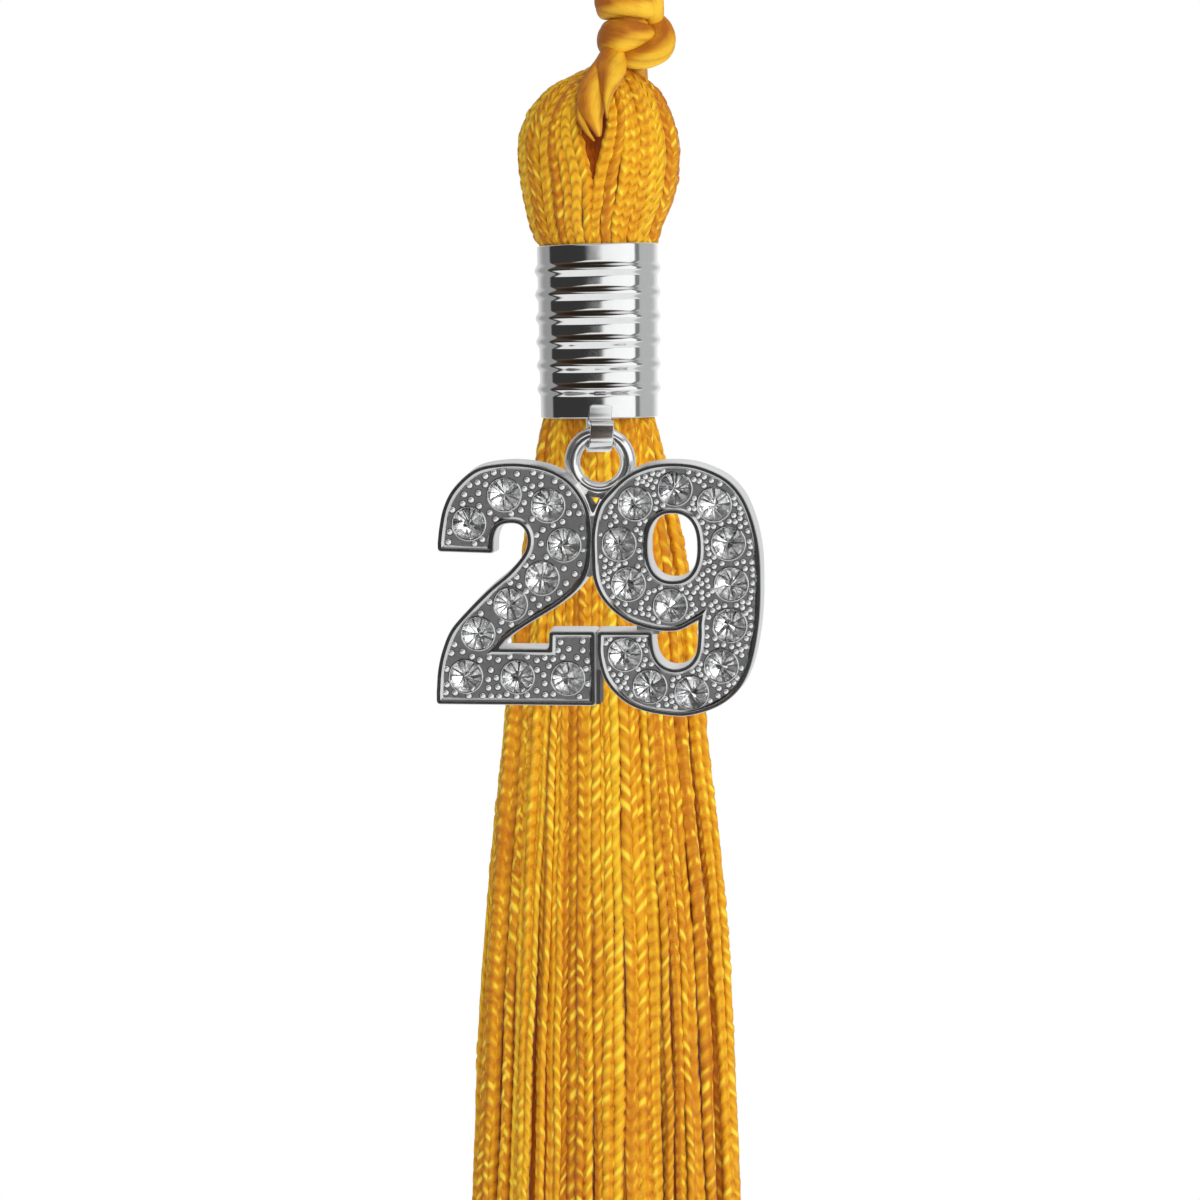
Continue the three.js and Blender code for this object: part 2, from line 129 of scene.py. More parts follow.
@dataclass(frozen=True)
class Value:
    """A number or colour that varies over a surface, as a socket that takes part in sums."""

    shop: NodeShop
    socket: bpy.types.NodeSocket

    def _sum(self, operation: str, first: Any, second: Any) -> Value:
        """Adds a Math node for one operation."""
        return self.shop.node("ShaderNodeMath", {"operation": operation}, {0: first, 1: second})

    def __add__(self, other: Any) -> Value:
        """This value plus another."""
        return self._sum("ADD", self, other)

    def __radd__(self, other: Any) -> Value:
        """Another value plus this one."""
        return self._sum("ADD", other, self)

    def __sub__(self, other: Any) -> Value:
        """This value minus another."""
        return self._sum("SUBTRACT", self, other)

    def __rsub__(self, other: Any) -> Value:
        """Another value minus this one."""
        return self._sum("SUBTRACT", other, self)

    def __mul__(self, other: Any) -> Value:
        """This value times another."""
        return self._sum("MULTIPLY", self, other)

    def __rmul__(self, other: Any) -> Value:
        """Another value times this one."""
        return self._sum("MULTIPLY", other, self)

    def to(self, other: Any) -> Value:
        """The angle of the direction whose parts are this value and another."""
        return self._sum("ARCTAN2", self, other)

    def slope(self) -> Value:
        """The angle whose sine is this value."""
        return self._sum("ARCSINE", self, 0.0)

    def sine(self) -> Value:
        """The sine of this value."""
        return self._sum("SINE", self, 0.0)

    def whole(self) -> Value:
        """The whole part of this value."""
        return self._sum("FLOOR", self, 0.0)

    def fraction(self) -> Value:
        """What this value has over its whole part."""
        return self._sum("FRACT", self, 0.0)

    def size(self) -> Value:
        """This value without its sign."""
        return self._sum("ABSOLUTE", self, 0.0)

    def eased(self, low: float, high: float) -> Value:
        """0 below low, 1 above high, and smooth between them."""
        sockets = {"Value": self, "From Min": low, "From Max": high}
        return self.shop.node("ShaderNodeMapRange", {"interpolation_type": "SMOOTHSTEP"}, sockets)


class NodeShop:
    """Adds nodes to the tree of one material or surround."""

    def __init__(self, owner: Material | bpy.types.World) -> None:
        """Starts from its owner's tree of nodes, emptied.

        Args:
            owner: The material or surround.
        """
        owner.use_nodes = True
        self.owner, self.tree = owner, owner.node_tree
        self.tree.nodes.clear()

    def node(self, kind: str, settings: dict, sockets: dict, out: Any = 0) -> Value:
        """Adds one node.

        Args:
            kind: The node's type.
            settings: Its properties, set before its sockets.
            sockets: Numbers, colours or values for its inputs, by name or number.
            out: The output to hand back, by name or number.

        Returns:
            That output.
        """
        made = self.tree.nodes.new(kind)
        for name, setting in settings.items():
            setattr(made, name, setting)
        for key, given in sockets.items():
            if isinstance(given, Value):
                self.tree.links.new(given.socket, made.inputs[key])
            else:
                made.inputs[key].default_value = given
        return Value(self, made.outputs[out] if made.outputs else None)

    def mix(self, share: Any, first: Any, second: Any) -> Value:
        """The first colour with a share of the second in it."""
        sides = (colour if isinstance(colour, Value) else (*colour, 1.0) for colour in (first, second))
        sockets = dict(zip(MIX_SOCKETS, (share, *sides)))
        return self.node("ShaderNodeMix", {"data_type": "RGBA"}, sockets, MIX_RESULT)

    def ramp(self, share: Value, places: Sequence[float], colours: Sequence[Colour]) -> Value:
        """Adds a ramp of colours.

        Args:
            share: Where on the ramp to read it, from 0 to 1.
            places: Where its colours stand.
            colours: Its colours.

        Returns:
            The colour there.
        """
        colour = self.node("ShaderNodeValToRGB", {}, {"Fac": share})
        elements = colour.socket.node.color_ramp.elements
        while len(elements) < len(places):
            elements.new(1.0)
        for element, place, stop in zip(elements, places, colours):
            element.position, element.color = place, (*stop, 1.0)
        return colour

    def stretched(self, vector: Value, scale: Triple, shift: Any = (0.0, 0.0, 0.0)) -> Value:
        """A vector times a scale, moved by a shift."""
        sockets = {0: vector, 1: scale, 2: shift}
        return self.node("ShaderNodeVectorMath", {"operation": "MULTIPLY_ADD"}, sockets, "Vector")

    def noise(self, vector: Value, scale: float, detail: float = 2.0, roughness: float = 0.5) -> Value:
        """A noise between 0 and 1 at a place."""
        sockets = {"Vector": vector, "Scale": scale, "Detail": detail, "Roughness": roughness}
        return self.node("ShaderNodeTexNoise", {}, sockets)

    def parts(self, vector: Value) -> list[Value]:
        """The three parts of a vector."""
        x = self.node("ShaderNodeSeparateXYZ", {}, {"Vector": vector})
        return [Value(self, output) for output in x.socket.node.outputs]

    def joined(self, x: Any, y: Any, z: Any) -> Value:
        """The vector with three parts."""
        return self.node("ShaderNodeCombineXYZ", {}, {"X": x, "Y": y, "Z": z})

    def chance(self, vector: Value) -> Value:
        """A random number between 0 and 1 that is the vector's own."""
        return self.node("ShaderNodeTexWhiteNoise", {"noise_dimensions": "3D"}, {"Vector": vector})

    def attribute(self, name: str) -> Value:
        """A number that the mesh carries."""
        return self.node("ShaderNodeAttribute", {"attribute_name": name}, {}, out="Fac")

    def place(self) -> Value:
        """The place on the object."""
        return self.node("ShaderNodeTexCoord", {}, {}, out="Object")

    def lay(self) -> Value:
        """The place on the map that follows a yarn or cord."""
        return self.node("ShaderNodeUVMap", {"uv_map": LAY_MAP}, {})

    def bump(self, height: Value, distance: float) -> Value:
        """A surface direction raised by a height."""
        return self.node("ShaderNodeBump", {}, {"Height": height, "Distance": distance})

    def finish(self, sockets: dict) -> Material:
        """The material, with a surface that has these values in its shader's sockets."""
        shader = self.node("ShaderNodeBsdfPrincipled", {}, sockets)
        self.node("ShaderNodeOutputMaterial", {}, {"Surface": shader})
        return self.owner


# Finishes


@dataclass(frozen=True)
class YarnFinish:
    """Rayon chain yarn: slanted golden legs with fine fibres, painted highlights and glints on the plump
    legs, and painted shade, deeper and redder, where the legs meet.

    A fade is the pair of values between which something sets in.
    """

    name: str = "chain yarn"
    glint: Colour = (1.0, 0.76, 0.06)
    light: Colour = (0.93, 0.57, 0.022)
    middle: Colour = (0.80, 0.365, 0.008)
    deep: Colour = (0.56, 0.165, 0.003)
    places: Triple = (0.28, 0.52, 0.78)
    roughness: float = 0.46
    roughness_spread: float = 0.16
    sheen: float = 0.08
    sheen_roughness: float = 0.35
    specular: float = 0.3
    leg_end_fade: Pair = (0.05, 0.85)
    leg_side_fade: Pair = (0.1, 0.85)
    meeting_fade: Pair = (0.35, 1.0)
    seam_fade: Pair = (0.05, 0.85)
    glint_fade: Pair = (0.3, 0.9)
    glint_share: float = 0.75
    meeting_shade_share: float = 0.7
    tone_weight: float = 0.34
    fibre_weight: float = 0.3
    patch_weight: float = 0.3
    leg_highlight_spread: float = 0.3
    leg_highlight: float = 0.08
    tone_steps: float = 50.0
    fibre_lines: Triple = (2.2, 9.0, 1.0)
    fibre_shift: float = 40.0
    patch_scale: float = 90.0
    leg_height: float = 0.13 * MM
    fibre_share: float = 0.3

    def make(self) -> Material:
        """Builds the material.

        Returns:
            The material.
        """
        shop = NodeShop(bpy.data.materials.new(self.name))
        tone, lay = shop.attribute("tone"), shop.lay()
        share, count, _ = shop.parts(lay)
        meeting = (count.fraction() * 2.0 - 1.0).size()
        crown = (share * TURN).sine().size()
        # plump marks the crowns of the legs, where highlights are painted; hollow marks where the legs meet,
        # where shade is painted.
        plump = (1.0 - meeting.eased(*self.leg_end_fade)) * crown.eased(*self.leg_side_fade)
        hollow = meeting.eased(*self.meeting_fade) * (1.0 - crown.eased(*self.seam_fade))
        yarn_step = (tone * self.tone_steps).whole()
        chance = shop.chance(shop.joined((share * 2.0).whole(), count.whole(), yarn_step))
        shifted = shop.stretched(lay, self.fibre_lines, shop.joined(0.0, 0.0, tone * self.fibre_shift))
        fibres = shop.noise(shifted, scale=1.0, detail=3.0, roughness=0.6)
        patches = shop.noise(shop.place(), self.patch_scale)
        lightness = tone * self.tone_weight + fibres * self.fibre_weight + patches * self.patch_weight
        # Painted highlight: the crowns of the legs are lighter, more on some stitches than on others.
        lightness = lightness + plump * (chance * self.leg_highlight_spread + self.leg_highlight)
        colour = shop.ramp(lightness, self.places, (self.deep, self.middle, self.light))
        # Painted shade where the legs meet.
        colour = shop.mix(hollow * self.meeting_shade_share, colour, self.deep)
        # Painted glints on the brightest crowns.
        colour = shop.mix((plump * chance).eased(*self.glint_fade) * self.glint_share, colour, self.glint)
        return shop.finish({
            # Painted shade where the pit is high, as on the head's core.
            "Base Color": shop.mix(shop.attribute("pit"), colour, self.deep),
            "Roughness": self.roughness + fibres * self.roughness_spread,
            "Sheen Weight": self.sheen,
            "Sheen Roughness": self.sheen_roughness,
            "Sheen Tint": GOLDEN_SHEEN,
            "Specular IOR Level": self.specular,
            "Normal": shop.bump(plump + fibres * self.fibre_share, self.leg_height),
        })


@dataclass(frozen=True)
class CordFinish:
    """Twisted satin cord: plump golden plies with long fine fibres. Its colour holds painted light: a sheen
    where the tone is high, on the side facing the shine direction, sheen streaks along the cord, the light
    and shade of small folds, and shade in the ply grooves.
    """

    name: str = "satin cord"
    light: Colour = (0.95, 0.58, 0.035)
    middle: Colour = (0.70, 0.29, 0.009)
    deep: Colour = (0.42, 0.12, 0.004)
    places: Triple = (0.42, 0.6, 0.86)
    roughness: float = 0.42
    roughness_spread: float = 0.14
    sheen: float = 0.06
    sheen_roughness: float = 0.3
    specular: float = 0.35
    shine_fade: Pair = (0.48, 0.98)
    shine_weight: float = 0.42
    streak_sheen_weight: float = 0.36
    fibre_weight: float = 0.24
    fold_shade_weight: float = 0.3
    groove_shade_share: float = 0.5
    fibre_lines: Triple = (44.0, 1.6, 1.0)
    streak_lines: Triple = (6.0, 1.1, 1.0)
    fibre_height: float = 0.09 * MM
    fold_scale: float = 420.0
    fold_share: float = 3.0

    def make(self) -> Material:
        """Builds the material.

        Returns:
            The material.
        """
        shop = NodeShop(bpy.data.materials.new(self.name))
        # Painted sheen: the tone is lighter where the cord faces the shine direction.
        shine = shop.attribute("tone").eased(*self.shine_fade)
        fibres = shop.noise(shop.stretched(shop.lay(), self.fibre_lines), 1.0, detail=4.0, roughness=0.65)
        # Painted sheen in long streaks along the cord, also raised as a bump.
        sheen_streaks = shop.noise(shop.stretched(shop.lay(), self.streak_lines), scale=1.0)
        # The folds noise paints the light and shade of small folds into the colour, and raises them as a
        # bump.
        folds = shop.noise(shop.place(), self.fold_scale, detail=3.0)
        lightness = shine * self.shine_weight + sheen_streaks * self.streak_sheen_weight
        lightness = lightness + fibres * self.fibre_weight + folds * self.fold_shade_weight
        colour = shop.ramp(lightness, self.places, (self.deep, self.middle, self.light))
        return shop.finish({
            # Painted shade in the grooves between the plies.
            "Base Color": shop.mix(shop.attribute("pit") * self.groove_shade_share, colour, self.deep),
            "Roughness": self.roughness + fibres * self.roughness_spread,
            "Sheen Weight": self.sheen,
            "Sheen Roughness": self.sheen_roughness,
            "Sheen Tint": GOLDEN_SHEEN,
            "Specular IOR Level": self.specular,
            "Normal": shop.bump(fibres + sheen_streaks + folds * self.fold_share, self.fibre_height),
        })


@dataclass(frozen=True)
class PlatedFinish:
    """Bright plating, with faint dents and a haze of small marks. Some copies paint light: a near-black one
    paints shade, a white unmetallic one a highlight, and the stones' foils are lit and shaded copies.
    """

    name: str
    colour: Colour = (0.74, 0.745, 0.75)
    roughness: float = 0.05
    haze: float = 0.1
    dents: float = 260.0
    dent_height: float = 0.01 * MM
    metallic: float = 1.0
    mark_shade: float = 0.9
    marks_to_a_dent: float = 4.0

    def make(self) -> Material:
        """Builds the material.

        Returns:
            The material.
        """
        shop = NodeShop(bpy.data.materials.new(self.name))
        place = shop.place()
        marks = shop.noise(place, self.dents * self.marks_to_a_dent, detail=4.0, roughness=0.65)
        return shop.finish({
            "Base Color": shop.mix(marks, tuple(part * self.mark_shade for part in self.colour), self.colour),
            "Metallic": self.metallic,
            "Roughness": self.roughness + marks * self.haze,
            "Normal": shop.bump(shop.noise(place, self.dents), self.dent_height),
        })


@dataclass(frozen=True)
class AntiqueFinish:
    """The dull, darkened floor of the numerals, with a fine grain."""

    name: str = "antiqued floor"
    light: Colour = (0.47, 0.47, 0.475)
    dark: Colour = (0.2, 0.2, 0.205)
    roughness: float = 0.32
    roughness_spread: float = 0.14
    clouds: float = 350.0
    cloud_weight: float = 0.6
    grain: float = 2600.0
    grain_weight: float = 0.4
    grain_height: float = 0.012 * MM

    def make(self) -> Material:
        """Builds the material.

        Returns:
            The material.
        """
        shop = NodeShop(bpy.data.materials.new(self.name))
        place = shop.place()
        grain = shop.noise(place, self.grain, detail=3.0, roughness=0.6)
        lightness = shop.noise(place, self.clouds) * self.cloud_weight + grain * self.grain_weight
        return shop.finish({
            "Base Color": shop.mix(lightness, self.dark, self.light),
            "Metallic": 1.0,
            "Roughness": self.roughness + grain * self.roughness_spread,
            "Normal": shop.bump(grain, self.grain_height),
        })


@dataclass(frozen=True)
class CrystalFinish:
    """Clear cut glass, very faintly uneven."""

    name: str = "rhinestone glass"
    tint: Colour = (0.995, 0.998, 1.0)
    index: float = 1.54
    haze: float = 0.02
    haze_scale: float = 900.0

    def make(self) -> Material:
        """Builds the material."""
        shop = NodeShop(bpy.data.materials.new(self.name))
        return shop.finish({
            "Base Color": (*self.tint, 1.0),
            "Roughness": shop.noise(shop.place(), self.haze_scale) * self.haze,
            "Transmission Weight": 1.0,
            "IOR": self.index,
        })


# The inner yarns are redder, with a deep tone that is redder and less dark: painted warm light in the gaps
# between the strands.
INNER_YARN = YarnFinish(
    "inner yarn", glint=(1.0, 0.6, 0.05), light=(0.9, 0.42, 0.02), middle=(0.8, 0.27, 0.01),
    deep=(0.66, 0.15, 0.006),
)
FERRULE_PLATING = PlatedFinish("ferrule plating", (0.88, 0.885, 0.89), haze=0.08)
BAIL_PLATING = PlatedFinish("bail plating", (0.84, 0.845, 0.85), 0.2, 0.06)
# These are in the order of Worn.
PLATE_FINISHES = (
    PlatedFinish("charm plating", (0.66, 0.665, 0.67), 0.08, dents=700.0),
    AntiqueFinish(),
    PlatedFinish("cast walls", (0.84, 0.85, 0.865), 0.35, metallic=0.85),
    PlatedFinish("bead plating", (0.86, 0.865, 0.87), 0.12, metallic=0.75),
    # Painted shade: the dark rings round the beads, the line in the ring's groove and the dark plates between
    # the numerals.
    PlatedFinish("painted shade", (0.05, 0.05, 0.05), 0.5, metallic=0.3),
    PlatedFinish("ring plating", (0.93, 0.935, 0.94), 0.08, 0.08, metallic=0.92),
    # A painted highlight: a white, hardly metallic strip at the notch between the numerals.
    PlatedFinish("painted notch highlight", (0.93, 0.93, 0.935), 0.3, metallic=0.1),
)
# A stone wears its glass and then its foils, the lightest first. The foils are lit and shaded copies of one
# foil, painting light and dark reflections of the facets.
STONE_FINISHES = (
    CrystalFinish(),
    PlatedFinish("foil painted bright", (0.95, 0.955, 0.96), 0.1),
    PlatedFinish("foil painted grey", (0.86, 0.865, 0.87), 0.16),
    PlatedFinish("foil painted dark", (0.24, 0.24, 0.245), 0.16),
)


# Meshes


class MeshDraft:
    """Gathers the faces of one piece and makes its object."""

    def __init__(self) -> None:
        """Starts with no faces."""
        self.spots: list[tuple[Array, ...]] = []
        self.faces: list[tuple[Array, ...]] = []
        self.count = 0

    def add(
        self, points: Array, faces: Array, lay: Array | None = None, bake: Array | None = None,
        finish: int = 0, smooth: bool = True, tone: Any = 0.5, pit: Any = 0.0,
    ) -> None:
        """Adds faces that all have the same number of corners.

        Args:
            points: The places of their corners, one row each.
            faces: Each face's corners, counted within points.
            lay: Each corner's place on the map that follows the yarn.
            bake: Each corner's place on the map for baking.
            finish: Which of the piece's finishes they wear.
            smooth: Whether they are shaded as one curved surface.
            tone: How light each point is, from 0 to 1: on yarn the yarn's own tone, kept lower on sunk yarns
                as painted shade; on cord a painted sheen.
            pit: How much painted shade each point gets, from 0 to 1: how deep it lies in a groove, or on the
                head's core a set amount.
        """
        points = points.reshape(-1, 3)
        self.spots.append((points, *(np.broadcast_to(number, len(points)) for number in (tone, pit))))
        self._hold(faces + self.count, (lay, bake), finish, smooth)
        self.count += len(points)

    def _hold(self, faces: Array, maps: Sequence[Array | None], finish: int, smooth: bool) -> None:
        """Holds faces over points that are there already.

        Args:
            faces: Each face's corners, counted within the piece.
            maps: Their places on the lay map and on the baking map.
            finish: Which of the piece's finishes they wear.
            smooth: Whether they are shaded as one curved surface.
        """
        number, sides = faces.shape
        charts = (np.zeros((number * sides, 2)) if chart is None else chart.reshape(-1, 2) for chart in maps)
        looks = (np.full(number, look) for look in (sides, finish, smooth))
        self.faces.append((faces.reshape(-1), *charts, *looks))

    def grid(
        self, points: Array, lay: Array | None = None, bake: Array | None = None,
        ring: bool = False, capped: bool = True, **looks: Any,
    ) -> None:
        """Adds a tube of four-sided faces over rows of points, each row closed.

        Args:
            points: Rows of points, as rows, columns and 3.
            lay: The lay map of the rows, with one more column than points and, in a ring, one more row.
            bake: The baking map, with the same form as lay.
            ring: Whether the last row joins the first.
            capped: Whether the two end rows are filled, where the tube isn't a ring.
            looks: What add takes besides.
        """
        rows, columns = points.shape[:2]
        i, j = np.meshgrid(np.arange(rows if ring else rows - 1), np.arange(columns), indexing="ij")
        below, beside = (i + 1) % rows, (j + 1) % columns
        corners = (i, j), (i, beside), (below, beside), (below, j)
        faces = np.stack([row * columns + column for row, column in corners], -1)
        looks = {name: np.ravel(look) if isinstance(look, Array) else look for name, look in looks.items()}
        self.add(points, faces.reshape(-1, 4), *(self._on_corners(m, i, j) for m in (lay, bake)), **looks)
        if capped and not ring:
            first = np.arange(columns) + self.count - rows * columns
            for face, row in ((first[::-1], 0), (first + (rows - 1) * columns, rows - 1)):
                maps = [None if m is None else np.tile(m[row, 0], (columns, 1)) for m in (lay, bake)]
                self._hold(face[None], maps, looks.get("finish", 0), False)

    @staticmethod
    def _on_corners(chart: Array | None, i: Array, j: Array) -> Array | None:
        """A map of a grid's points as a map of its faces' corners."""
        corners = ((i, j), (i, j + 1), (i + 1, j + 1), (i + 1, j))
        return None if chart is None else np.stack([chart[corner] for corner in corners], 2)

    def build(self, name: str, finishes: Sequence[Material], crease: float | None = None) -> bpy.types.Object:
        """Makes the object.

        Args:
            name: The piece's name.
            finishes: Its materials.
            crease: The angle in degrees over which an edge is sharp, or None where none is.

        Returns:
            The object, linked to the scene.
        """
        mesh = bpy.data.meshes.new(name)
        points, tones, pits = (np.concatenate(part) for part in zip(*self.spots))
        corners, lays, bakes, sizes, worn, smooths = (np.concatenate(part) for part in zip(*self.faces))
        mesh.vertices.add(len(points))
        mesh.vertices.foreach_set("co", points.astype(np.float32).ravel())
        mesh.loops.add(len(corners))
        mesh.loops.foreach_set("vertex_index", corners.astype(np.int32))
        mesh.polygons.add(len(sizes))
        mesh.polygons.foreach_set("loop_start", (np.cumsum(sizes) - sizes).astype(np.int32))
        mesh.polygons.foreach_set("material_index", worn.astype(np.int32))
        mesh.polygons.foreach_set("use_smooth", smooths)
        mesh.update(calc_edges=True)
        for title, chart in ((LAY_MAP, lays), (BAKE_MAP, bakes)):
            if np.ptp(chart) > 0:
                layer = mesh.uv_layers.new(name=title)
                layer.uv.foreach_set("vector", chart.astype(np.float32).ravel())
        for title, numbers in (("tone", tones), ("pit", pits)):
            carried = mesh.attributes.new(title, "FLOAT", "POINT")
            carried.data.foreach_set("value", numbers.astype(np.float32))
        for finish in finishes:
            mesh.materials.append(finish)
        if crease is not None:
            mesh.set_sharp_from_angle(angle=math.radians(crease))
        mesh.validate()
        piece = bpy.data.objects.new(name, mesh)
        bpy.context.scene.collection.objects.link(piece)
        return piece


def placed(piece: bpy.types.Object, body: Body, slot: Slot, *nodes: str) -> bpy.types.Object:
    """Lets a piece ride on its body and stand for its nodes, and logs it.

    Metal doesn't mirror the yarn, and the charm lets light by to the yarn, which is as bright as the rest.

    Args:
        piece: The piece.
        body: The body that it rides on.
        slot: Its material slot.
        nodes: The nodes that it stands for.

    Returns:
        The piece.
    """
    piece.visible_glossy = slot != Slot.YARN
    piece.visible_shadow = piece.visible_diffuse = body != Body.CHARM
    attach(piece, body.value)
    if nodes:
        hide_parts(*nodes)
    LOG.info("%s: %d faces on %s", piece.name, len(piece.data.polygons), body.value)
    return piece


# Lines


def unit(vectors: Array) -> Array:
    """The vectors at length 1."""
    return vectors / np.linalg.norm(vectors, axis=-1, keepdims=True)


def turn_angles(count: int) -> Array:
    """Angles that share out a full turn evenly."""
    return np.arange(count) / count * TURN


def turned_rows(profile: Array, sectors: int, centre: Sequence[float] = (0.0, 0.0)) -> Array:
    """Rows of points of a turned form.

    Args:
        profile: The form's radii and heights, in order.
        sectors: How many points each row has.
        centre: Where its axis stands.

    Returns:
        The points, as rows, columns and 3.
    """
    angle = turn_angles(sectors)
    radius, height = profile[:, 0][:, None], profile[:, 1][:, None]
    return np.stack([
        centre[0] + radius * np.cos(angle), centre[1] + radius * np.sin(angle), height + 0 * angle,
    ], -1)


def reached_along(path: Array) -> Array:
    """The length of a line up to each of its points."""
    return np.concatenate([[0.0], np.cumsum(np.linalg.norm(np.diff(path, axis=0), axis=1))])


def read_at(spots: Array, places: Array, rows: Array) -> Array:
    """Rows of numbers that stand at some places, read at other spots."""
    return np.stack([np.interp(spots, places, column) for column in rows.T], -1)


def evenly(path: Array, spacing: float) -> Array:
    """The points of a line at an even spacing."""
    reached = reached_along(path)
    return read_at(np.linspace(0, reached[-1], max(2, round(reached[-1] / spacing) + 1)), reached, path)


def curved(start: Array, out: Array, end: Array, into: Array, share: Array) -> Array:
    """A smooth curve's value at a share of it. It leaves start at the rate out and meets end at into."""
    return (
        start * (2 * share**3 - 3 * share**2 + 1) + out * (share**3 - 2 * share**2 + share)
        + end * (3 * share**2 - 2 * share**3) + into * (share**3 - share**2)
    )


def smooth_route(points: Sequence[Sequence[float]], spacing: float) -> Array:
    """A smooth line through a few points.

    Args:
        points: The points that it passes.
        spacing: How far apart the points of the line are.

    Returns:
        The line's points.
    """
    given = np.asarray(points, float)
    whole = np.vstack([2 * given[0] - given[1], given, 2 * given[-1] - given[-2]])
    gaps = np.sqrt(np.linalg.norm(np.diff(whole, axis=0), axis=1))
    share = np.linspace(0, 1, ROUTE_STEPS, endpoint=False)[:, None]
    parts = []
    for number in range(1, len(given)):
        before, start, end, after = whole[number - 1:number + 3]
        near, own, far = gaps[number - 1:number + 2]
        out = ((start - before) / near - (end - before) / (near + own)) * own + (end - start)
        into = (end - start) - ((after - start) / (own + far) - (after - end) / far) * own
        parts.append(curved(start, out, end, into, share))
    return evenly(np.vstack([*parts, given[-1:]]), spacing)


def column_at(rows: Sequence[NamedTuple], name: str, at: Array) -> Array:
    """One column of a table of rows, worked out smoothly at the given drops.

    Args:
        rows: The table, whose first column is drop.
        name: The wanted column.
        at: The drops.

    Returns:
        The column's values there.
    """
    drops = np.array([row.drop for row in rows])
    values = np.array([getattr(row, name) for row in rows])
    slopes = np.gradient(values, drops)
    at = np.clip(at, drops[0], drops[-1])
    n = np.clip(np.searchsorted(drops, at, side="right") - 1, 0, len(drops) - 2)
    span = drops[n + 1] - drops[n]
    share = (at - drops[n]) / span
    return curved(values[n], slopes[n] * span, values[n + 1], slopes[n + 1] * span, share)


@dataclass
class Course:
    """A line that a yarn, cord or strip follows, and which way its face looks along it."""

    path: Array
    facing: Array

    def __post_init__(self) -> None:
        """Works out the lengths, and the directions along and across the line."""
        self.reached = reached_along(self.path)
        self.length = float(self.reached[-1])
        self.along = unit(np.gradient(self.path, axis=0))
        facing = np.broadcast_to(self.facing, self.path.shape)
        self.facing = unit(facing - self.along * np.sum(facing * self.along, axis=1, keepdims=True))
        self.across = np.cross(self.along, self.facing)

    @classmethod
    def carried(cls, path: Array, facing: Sequence[float]) -> Course:
        """A course whose face is carried along the line without turning about it.

        Args:
            path: The line's points.
            facing: Which way the face looks at the start.

        Returns:
            The course.
        """
        along = unit(np.gradient(path, axis=0))
        looks = [np.asarray(facing, float)]
        for direction in along:
            last = looks[-1] - direction * np.dot(looks[-1], direction)
            looks.append(last / np.linalg.norm(last))
        return cls(path, np.array(looks[1:]))

    def swept(self, lengths: Array, out: Array, side: Array) -> Array:
        """Points at some lengths along the line, so far out in the facing direction and so far across."""
        sides = self.path, self.facing, self.across
        middle, facing, across = (read_at(lengths, self.reached, rows) for rows in sides)
        return middle + facing * out[..., None] + across * side[..., None]


# Yarn


